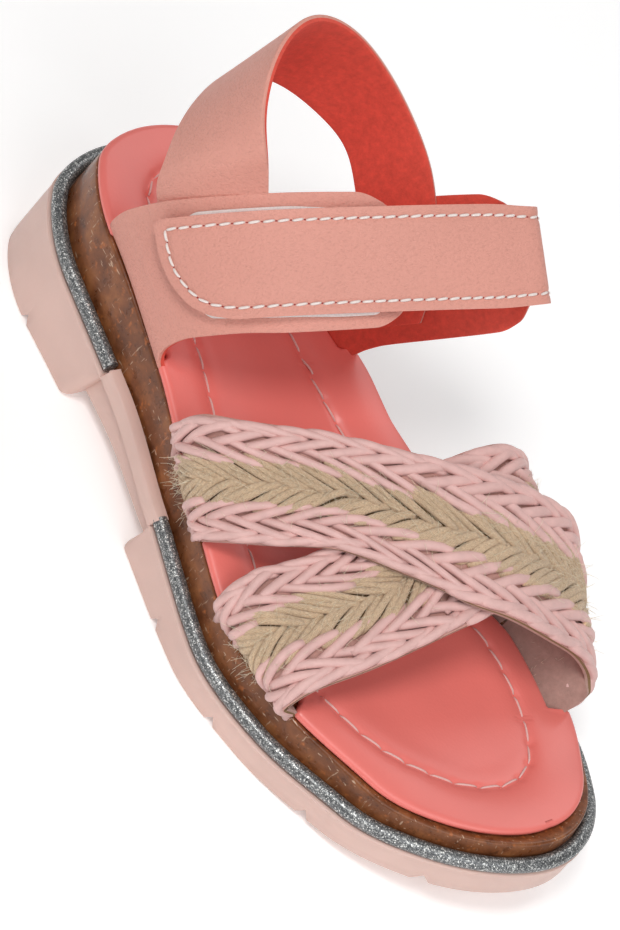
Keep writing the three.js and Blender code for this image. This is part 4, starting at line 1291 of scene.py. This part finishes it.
def threadShape(name, length, radius, slant, dip):
    t = np.linspace(-1, 1, 7)
    path = np.stack([t * length / 2, slant * t, -dip * t ** 4], -1)
    return tubeObject(name, path, radius * (1 - 0.35 * np.abs(t) ** 4), 6, "thread")


def holeShape(name, radius, corners=8):
    # Low rounded pit mark between two stitches, dark red as painted shade in the hole
    angles = np.linspace(0, 2 * np.pi, corners, endpoint=False)
    rim = np.stack([radius * 1.3 * np.cos(angles), radius * np.sin(angles), np.full(corners, -0.12)], -1)
    points = np.vstack([rim, rim - np.array([0, 0, 0.3]), [[0, 0, 0.04], [0, 0, -0.42]]])
    pairs = [(j, (j + 1) % corners) for j in range(corners)]
    faces = [(a, b, 2 * corners) for a, b in pairs]
    faces += [(a + corners, b + corners, b, a) for a, b in pairs]
    faces += [(b + corners, a + corners, 2 * corners + 1) for a, b in pairs]
    return meshObject(name, points, faces, [finishes["hole"]])


def closureStitches():
    stitches, holes = [], []
    for line in closureStitchLine():
        ends = evenly(line, stitchSizes["pitch"])
        turn, width = ends[:, 0] / loopLength, ends[:, 1]
        level = closureLift(turn) + bandSizes["closure"]
        at = bandSurface(turn, width, level - stitchSizes["holeDrop"])
        off = unit(bandSurface(turn, width, level + 0.8) - at)
        way = unit(at[1:] - at[:-1])
        middle = (ends[1:] + ends[:-1]) / 2
        turn, width = middle[:, 0] / loopLength, middle[:, 1]
        level = closureLift(turn) + bandSizes["closure"] + stitchSizes["threadLift"]
        stitches.append((bandSurface(turn, width, level), way, (off[1:] + off[:-1]) / 2))
        holes.append((at[1:-1], way[1:], off[1:-1]))
    length, *shape = stitchSizes["thread"]
    thread = threadShape("closureThread", stitchSizes["pitch"] * length, *shape)
    mark = holeShape("holeMark", stitchSizes["holeRadius"])
    stitches, holes = [[np.vstack(part) for part in zip(*rows)] for rows in (stitches, holes)]
    rows = makeRow("closureStitches", *stitches, thread, "thread")
    return rows, makeRow("closureStitchHoles", *holes, mark, "hole", looseness=0)


outerQuarter = makeQuarter("outerQuarterLeather", outerQuarterRows, bandSizes["root"], 0, quarterCreases)
finishPiece(outerQuarter, "leather", "outer_quarter")
innerQuarter = makeQuarter("innerQuarterLeather", innerQuarterRows, 0, bandSizes["root"], [])
finishPiece(innerQuarter, "leather", "inner_quarter")
finishPiece(makeTape(), "tape", "hook_tape")
finishPiece(makeClosure(), "leather", "closure_strap")
finishPiece(makeHeelStrap(), "leather", "heel_strap")
for row in (*closureStitches(), makeFootbedStitches(footbed)):
    finishPiece(row, None)
print("leather straps made")

# Braided vamp
vampHeight = 42
overStrapRows = [
    # rear edge along, across, up; front edge along, across, up
    (0.382, -0.96, -0.18, 0.505, -0.96, -0.2),
    (0.377, -1.07, 0.01, 0.505, -1.06, -0.05),
    (0.38, -1.22, 0.16, 0.513, -1.15, 0.06),
    (0.399, -1.15, 0.41, 0.535, -1.05, 0.22),
    (0.434, -0.85, 0.58, 0.566, -0.8, 0.39),
    (0.475, -0.4, 0.69, 0.608, -0.43, 0.58),
    (0.513, -0.01, 0.75, 0.665, -0.18, 0.67),
    (0.557, 0.39, 0.81, 0.722, -0.03, 0.76),
    (0.594, 0.76, 0.83, 0.757, 0.2, 0.77),
    (0.63, 1.08, 0.81, 0.787, 0.54, 0.63),
    (0.66, 1.25, 0.73, 0.811, 0.9, 0.45),
    (0.686, 1.27, 0.5, 0.83, 1.11, 0.24),
    (0.705, 0.99, 0.02, 0.832, 1, 0.01),
    (0.703, 0.91, -0.16, 0.828, 0.88, -0.15),
]
underStrapRows = [
    (0.585, -0.95, -0.2, 0.736, -0.91, -0.2),
    (0.583, -1.07, -0.04, 0.733, -1.05, -0.02),
    (0.575, -1.13, 0.1, 0.73, -1.21, 0.12),
    (0.57, -0.92, 0.27, 0.728, -1.03, 0.3),
    (0.581, -0.62, 0.4, 0.735, -0.66, 0.45),
    (0.587, -0.27, 0.52, 0.737, -0.32, 0.55),
    (0.568, 0.07, 0.61, 0.738, -0.06, 0.63),
    (0.554, 0.41, 0.67, 0.738, 0.19, 0.66),
    (0.553, 0.78, 0.72, 0.731, 0.47, 0.65),
    (0.56, 1.12, 0.74, 0.722, 0.78, 0.61),
    (0.574, 1.33, 0.635, 0.714, 1.03, 0.49),
    (0.588, 1.33, 0.38, 0.71, 1.13, 0.27),
    (0.588, 0.99, -0.03, 0.703, 0.98, -0.03),
    (0.59, 0.92, -0.22, 0.7, 0.89, -0.23),
]
braidSizes = {
    "thickness": 3.8,
    "baseDepth": 2.4,
    "width": 33,
    "cord": 1.2,
    "cordTaper": 0.2,
    "cordSides": 10,
    "cordRings": 13,
    "yarn": 0.98,
    "yarnTaper": 0.35,
    "yarnPlies": 5,
    "yarnTwist": 1.0,
    "overhang": 0.08,
    "below": 7,
    "endGap": 0.7,
    "baseGrid": (120, 37),
    "guideGrid": (160, 47),
    "baseInset": 0.6,
    "baseEdge": 0.3,
    "jitter": (0.0006, 0.00028, 0.00018),
    "spin": (0.25, 0.035, 0.05),
    "hairs": 5000,
    "hairLength": 5.6,
    "hairRadius": 0.065,
    "hairCurl": (0.2, 1.5, 0.9),
    "hairLean": ((-0.9, -0.75, -3.1), (0.9, 0.05, 3.1)),
    "hairScale": (0.35, 1.3),
    "hairFacing": 0.25,
}
# Columns of plaits. From and to are the strand's two ends across the strap, from the strap's outer end on.
# Bend says how much sooner it turns at its start, and dips how far each end dives under its neighbours.
plaitKeys = ("yarn", "from", "to", "bend", "pitch", "offset", "length", "height", "dips", "tuck")
plaitColumns = [dict(zip(plaitKeys, row)) for row in (
    (True, 9.6, 16.9, 1.0, 3.3, 0, 15, -1.35, (0.9, 0.8), 0),
    (True, 23.6, 16.3, 1.15, 3.3, 0, 15, -1.35, (0.8, 0.9), 0),
    (False, 6.0, 11.3, 1.5, 8.8, 0, 19, -1.2, (1.3, 1.0), 0),
    (False, 27.0, 21.7, 1.5, 8.8, 0, 19, -1.2, (1.3, 1.0), 0),
    (False, 0.6, 3.9, 0.8, 8.8, 0.5, 18, -1.35, (1.25, 1.1), 1.6),
    (False, 32.4, 29.1, 0.8, 8.8, 0.5, 18, -1.35, (1.25, 1.1), -1.6),
    (False, 7.4, 2.7, 1.0, 8.8, 0.5, 17, -1.15, (1.35, 1.35), 0),
    (False, 25.6, 30.3, 1.0, 8.8, 0.5, 17, -1.15, (1.35, 1.35), 0),
)]


def vampPoints(rows, k):
    along = np.array(column(rows, k)) * sole["length"]
    y = swingAt(along) + np.array(column(rows, k + 1)) * rimHalfAt(along)
    return place(along, y, rimHeight(along, y) + np.array(column(rows, k + 2)) * vampHeight)


def strapGridAt(rows, ts, shares):
    rear = splinePoint(vampPoints(rows, 0), ts, False)[:, None]
    front = splinePoint(vampPoints(rows, 3), ts, False)[:, None]
    shares = np.asarray(shares)[None, :, None]
    return rear * (1 - shares) + front * shares


def strapStations(rows, steps):
    # Evenly spaced along the strap's middle line
    ts = np.linspace(0, 1, 400)
    middle = strapGridAt(rows, ts, [0.5])[:, 0]
    lengths = runLengths(middle)
    return np.interp(np.linspace(0, lengths[-1], steps), lengths, ts), lengths[-1]


def makeStrapBase(name, rows):
    # Rose under the cords at both edges and brown under the jute between them, both painted shade in the gaps
    # between the strands
    steps, columns = braidSizes["baseGrid"]
    third = columns // 3
    inset = braidSizes["baseInset"] / braidSizes["width"]
    grid = strapGridAt(rows, strapStations(rows, steps)[0], np.linspace(inset, 1 - inset, columns))
    normals = outwardNormals(grid)
    outer = grid - normals * braidSizes["baseDepth"]
    inner = grid - normals * braidSizes["thickness"]
    grids = shellGrids(outer, inner, 2, 1)[1:]
    grids += [(outer[:, :third + 1], 0), (outer[:, third:2 * third + 1], 2), (outer[:, 2 * third:], 0)]
    obj = fromGrids(name, grids, ("strapBase", "strapLining", "juteGapShade"), strapSharp)
    return bevelEdges(obj, braidSizes["baseEdge"], 2, bandSizes["edgeAngle"])


def makeGuide(name, rows):
    # The strap's surface with its flat place as UV and its outward direction, which the plaits are laid on.
    # It runs on below the roots, so that the plaits go down into the sole.
    over = braidSizes["overhang"]
    steps, columns = braidSizes["guideGrid"]
    ts, length = strapStations(rows, steps)
    shares = np.linspace(-over, 1 + over, columns)
    grid = strapGridAt(rows, ts, shares)
    spacing = length / (steps - 1)
    extra = int(round(braidSizes["below"] / spacing))
    for end, before in ((0, 3), (-1, -4)):
        way = unit((grid[end] - grid[before]).mean(axis=0))
        further = [grid[end] + way * spacing * k for k in range(1, extra + 1)]
        grid = np.concatenate([further[::-1], grid] if end == 0 else [grid, further])
    normals = outwardNormals(grid)
    outside = np.maximum(0, np.abs(shares - 0.5) - 0.5) * braidSizes["width"]
    grid = grid - normals * (outside[None, :, None] ** 2 * 0.25)
    obj = meshObject(name, grid.reshape(-1, 3), gridFaces(*grid.shape[:2]))
    flatPlaces = np.meshgrid(np.linspace(0, 1, len(grid)), (shares + over) / (1 + 2 * over), indexing="ij")
    loops = np.empty(len(obj.data.loops), np.int32)
    obj.data.loops.foreach_get("vertex_index", loops)
    uv = obj.data.uv_layers.new(name="flat")
    uv.data.foreach_set("uv", np.stack([flat.ravel()[loops] for flat in flatPlaces], -1).ravel())
    outward = obj.data.attributes.new("outward", "FLOAT_VECTOR", "POINT")
    outward.data.foreach_set("vector", normals.reshape(-1).astype(np.float32))
    return obj, spacing * (len(grid) - 1)


def plaitSegment(name, look):
    # One strand of a column, bent as it lies in the plait
    kind = "yarn" if look["yarn"] else "cord"
    t = np.linspace(-1, 1, braidSizes["cordRings"])
    share = (t + 1) / 2
    eased = 0.5 * share + 0.5 * smoothStep(share, 0, 1)
    sway = 1 - (1 - eased) ** look["bend"]
    first, last = look["dips"]
    middle = (look["from"] + look["to"]) / 2
    drop = first * (1 - share) ** 4 + last * share ** 4
    across = look["from"] + (look["to"] - look["from"]) * sway - middle + look["tuck"] * (1 - share) ** 3
    path = np.stack([t * look["length"] / 2, across, -drop], -1)
    radii = braidSizes[kind] * (1 - braidSizes[kind + "Taper"] * np.abs(t) ** 8)
    if look["yarn"]:
        plies = braidSizes["yarnPlies"]
        return tubeObject(name, path, radii, 3 * plies, "jute", plies, braidSizes["yarnTwist"])
    return tubeObject(name, path, radii, braidSizes["cordSides"], "cord")


def plaitTree():
    # Lays a row of segments flat and bends it onto the guide's surface
    tree, given = startTree(
        "plaitColumn", Segment="Object", Guide="Object", Count="Int", First="Vector", Step="Vector",
        Shift="Vector", FlatSize="Vector", Seed="Int", Finish="Material")
    line = addNode(tree, "GeometryNodeMeshLine", {
        "Count": given["Count"],
        "Start Location": given["First"],
        "Offset": given["Step"],
    }, mode="OFFSET")
    jitter = eitherWay(tree, braidSizes["jitter"], given["Seed"])
    loose = addNode(tree, "GeometryNodeSetPosition", {"Geometry": line.outputs[0], "Offset": jitter})
    spin = eitherWay(tree, braidSizes["spin"], given["Seed"])
    turned = addNode(tree, "FunctionNodeEulerToRotation", {"Euler": spin})
    segment = addNode(tree, "GeometryNodeObjectInfo", {"Object": given["Segment"]})
    copies = addNode(tree, "GeometryNodeInstanceOnPoints", {
        "Points": loose.outputs[0],
        "Instance": segment.outputs["Geometry"],
        "Rotation": turned.outputs[0],
    })
    flat = dressTree(tree, copies.outputs[0], given["Finish"])
    guide = addNode(tree, "GeometryNodeObjectInfo", {"Object": given["Guide"]})
    here = tree.nodes.new("GeometryNodeInputPosition").outputs[0]
    sampleAt = vectorMath(tree, "DIVIDE", vectorMath(tree, "ADD", here, given["Shift"]), given["FlatSize"])
    spot, outward = [
        addNode(tree, "GeometryNodeSampleUVSurface", {
            "Mesh": guide.outputs["Geometry"],
            "Value": value,
            "UV Map": attributeOf(tree, "flat"),
            "Sample UV": sampleAt,
        }, data_type="FLOAT_VECTOR").outputs["Value"]
        for value in (here, attributeOf(tree, "outward"))
    ]
    height = addNode(tree, "ShaderNodeSeparateXYZ", {0: here}).outputs["Z"]
    bent = vectorMath(tree, "ADD", spot, vectorMath(tree, "SCALE", outward, scale=height))
    moved = addNode(tree, "GeometryNodeSetPosition", {"Geometry": flat, "Position": bent})
    joined = tree.nodes.new("GeometryNodeJoinGeometry")
    for geometry in (moved.outputs[0], given["Geometry"]):
        tree.links.new(geometry, joined.inputs[0])
    return endTree(tree, joined.outputs[0])


plaitRows = plaitTree()


def makePlaits(name, straps, yarn):
    obj = meshObject(name, np.zeros((0, 3)))
    segments = []
    width = braidSizes["width"]
    over = braidSizes["overhang"]
    for number, (guide, length) in enumerate(straps):
        for k, look in enumerate(plaitColumns):
            if look["yarn"] != yarn:
                continue
            segments.append(plaitSegment(f"{name}_segment_{number}_{k}", look))
            half = look["length"] / 2 + braidSizes["endGap"]
            start = half + look["pitch"] * look["offset"]
            addTree(
                obj, plaitRows,
                Segment=segments[-1], Guide=guide,
                Count=int((length - half - start) // look["pitch"]) + 1,
                First=(start * mm, (look["from"] + look["to"]) / 2 * mm, look["height"] * mm),
                Step=(look["pitch"] * mm, 0.0, 0.0),
                Shift=(0.0, over * width * mm, 0.0),
                FlatSize=(length * mm, width * (1 + 2 * over) * mm, 1.0),
                Seed=11 * number + k,
                Finish=finishes["jute" if yarn else "cord"],
            )
    settle(obj)
    dropObjects(segments)
    return obj


strapRows = (("overStrap", overStrapRows), ("underStrap", underStrapRows))
bases = [makeStrapBase(name + "Backing", rows) for name, rows in strapRows]
straps = [makeGuide(name + "Guide", rows) for name, rows in strapRows]
cords = makePlaits("plaitedCords", straps, False)
yarns = makePlaits("plaitedJute", straps, True)


def hairTree():
    # Loose fibres that stand off the yarn
    tree, given = startTree("yarnHairs", Hair="Object", Density="Float", Seed="Int", Finish="Material")
    spread = addNode(tree, "GeometryNodeDistributePointsOnFaces", {
        "Mesh": given["Geometry"],
        "Density": given["Density"],
        "Seed": given["Seed"],
    })
    hair = addNode(tree, "GeometryNodeObjectInfo", {"Object": given["Hair"]})
    lean = randomVector(tree, *braidSizes["hairLean"], given["Seed"])
    least, most = braidSizes["hairScale"]
    inputs = {2: least, 3: most, "Seed": given["Seed"]}
    size = addNode(tree, "FunctionNodeRandomValue", inputs, data_type="FLOAT")
    copies = addNode(tree, "GeometryNodeInstanceOnPoints", {
        "Points": spread.outputs["Points"],
        "Instance": hair.outputs["Geometry"],
        "Rotation": turnedBy(tree, spread.outputs["Rotation"], lean),
        "Scale": size.outputs[1],
    })
    return endTree(tree, dressTree(tree, copies.outputs[0], given["Finish"]))


def facingOut(yarns, straps):
    # The yarns' faces that look the same way as the nearest place of a strap
    spots, ways = [], []
    for guide, length in straps:
        spots += [vertex.co for vertex in guide.data.vertices]
        ways += [Vector(item.vector) for item in guide.data.attributes["outward"].data]
    nearest = KDTree(len(spots))
    for number, spot in enumerate(spots):
        nearest.insert(spot, number)
    nearest.balance()
    return [
        tuple(face.vertices) for face in yarns.data.polygons
        if ways[nearest.find(face.center)[1]].dot(face.normal) > braidSizes["hairFacing"]]


def makeHairs(name, yarns, straps):
    mesh = bpy.data.meshes.new(name)
    mesh.from_pydata([tuple(v.co) for v in yarns.data.vertices], [], facingOut(yarns, straps))
    obj = linkObject(name, mesh)
    area = sum(face.area for face in mesh.polygons)
    t = np.linspace(0, 1, 5)
    short, aside, lift = braidSizes["hairCurl"]
    reach = braidSizes["hairLength"] * t * (1 - short * t)
    path = np.stack([reach, aside * t ** 2, lift * t - lift * t ** 2], -1)
    hair = tubeObject("hairShape", path, braidSizes["hairRadius"] * (1 - 0.5 * t), 3, "hair")
    addTree(obj, hairTree(), Hair=hair, Density=braidSizes["hairs"] / area, Seed=5, Finish=finishes["hair"])
    settle(obj)
    dropObjects([hair])
    return obj


hairs = makeHairs("juteFibres", yarns, straps)
dropObjects([guide for guide, length in straps])
finishPiece(bases[0], "braid", "braided_vamp")
for piece in (bases[1], cords, yarns, hairs):
    finishPiece(piece, "braid")
print("braid made")

# Camera, floor and light
cameraLook = {
    "place": (0.3679, -0.6839, 0.7176),
    "right": (0.4969, 0.7113, 0.4972),
    "up": (-0.8196, 0.1963, 0.5382),
    "back": (0.2852, -0.675, 0.6805),
    "lens": 162.5,
}


def makeCamera(look):
    data = bpy.data.cameras.new("photoView")
    turn = Matrix([look["right"], look["up"], look["back"]]).transposed().to_quaternion().to_matrix()
    camera = linkObject("photoView", data)
    camera.matrix_world = Matrix.Translation(Vector(look["place"])) @ turn.to_4x4()
    data.lens = look["lens"]
    data.sensor_width = data.sensor_height = 36
    data.sensor_fit = "VERTICAL"
    data.clip_start, data.clip_end = 0.01, 20
    bpy.context.scene.camera = camera


lights = {
    # Place, aim, size in metres, power in watts, colour
    "keyLight": ((0.05, -0.75, 1.35), (0.08, 0, 0.02), 0.5, 9.2, (1, 0.985, 0.97)),
    "fillLight": ((0.8, -0.35, 0.75), (0.12, 0, 0.03), 0.9, 4.8, (0.97, 0.985, 1)),
    "backLight": ((-0.35, 1.05, 1.0), (0.12, 0, 0.02), 0.9, 3.6, (1, 1, 1)),
}


def makeLight(name, at, aim, size, power, color):
    data = bpy.data.lights.new(name, "AREA")
    data.shape = "DISK"
    data.size = size
    data.energy = power
    data.color = color
    turn = (Vector(aim) - Vector(at)).to_track_quat("-Z", "Y").to_matrix().to_4x4()
    linkObject(name, data).matrix_world = Matrix.Translation(Vector(at)) @ turn


studioSizes = {"floorHalf": 6, "floorHeight": -0.0002, "floorGlow": 0.2, "world": 0.27}


def makeFloor(sizes):
    half = sizes["floorHalf"]
    corners = [(x * half, y * half, sizes["floorHeight"]) for x, y in ((-1, -1), (1, -1), (1, 1), (-1, 1))]
    mesh = bpy.data.meshes.new("studioFloor")
    mesh.from_pydata(corners, [], [(0, 1, 2, 3)])
    floor = linkObject("studioFloor", mesh)
    glow = {"Emission Color": (1, 1, 1, 1), "Emission Strength": sizes["floorGlow"]}
    mesh.materials.append(newMaterial("studioWhite", (0.97, 0.97, 0.97), 0.7, glow)[0])


def makeWorld(sizes):
    world = bpy.data.worlds.new("studio")
    world.use_nodes = True
    background = world.node_tree.nodes["Background"]
    background.inputs["Color"].default_value = (1, 1, 1, 1)
    background.inputs["Strength"].default_value = sizes["world"]
    bpy.context.scene.world = world
    bpy.context.scene.view_settings.view_transform = "Standard"


makeCamera(cameraLook)
for name, spec in lights.items():
    makeLight(name, *spec)
makeFloor(studioSizes)
makeWorld(studioSizes)
print("studio made")
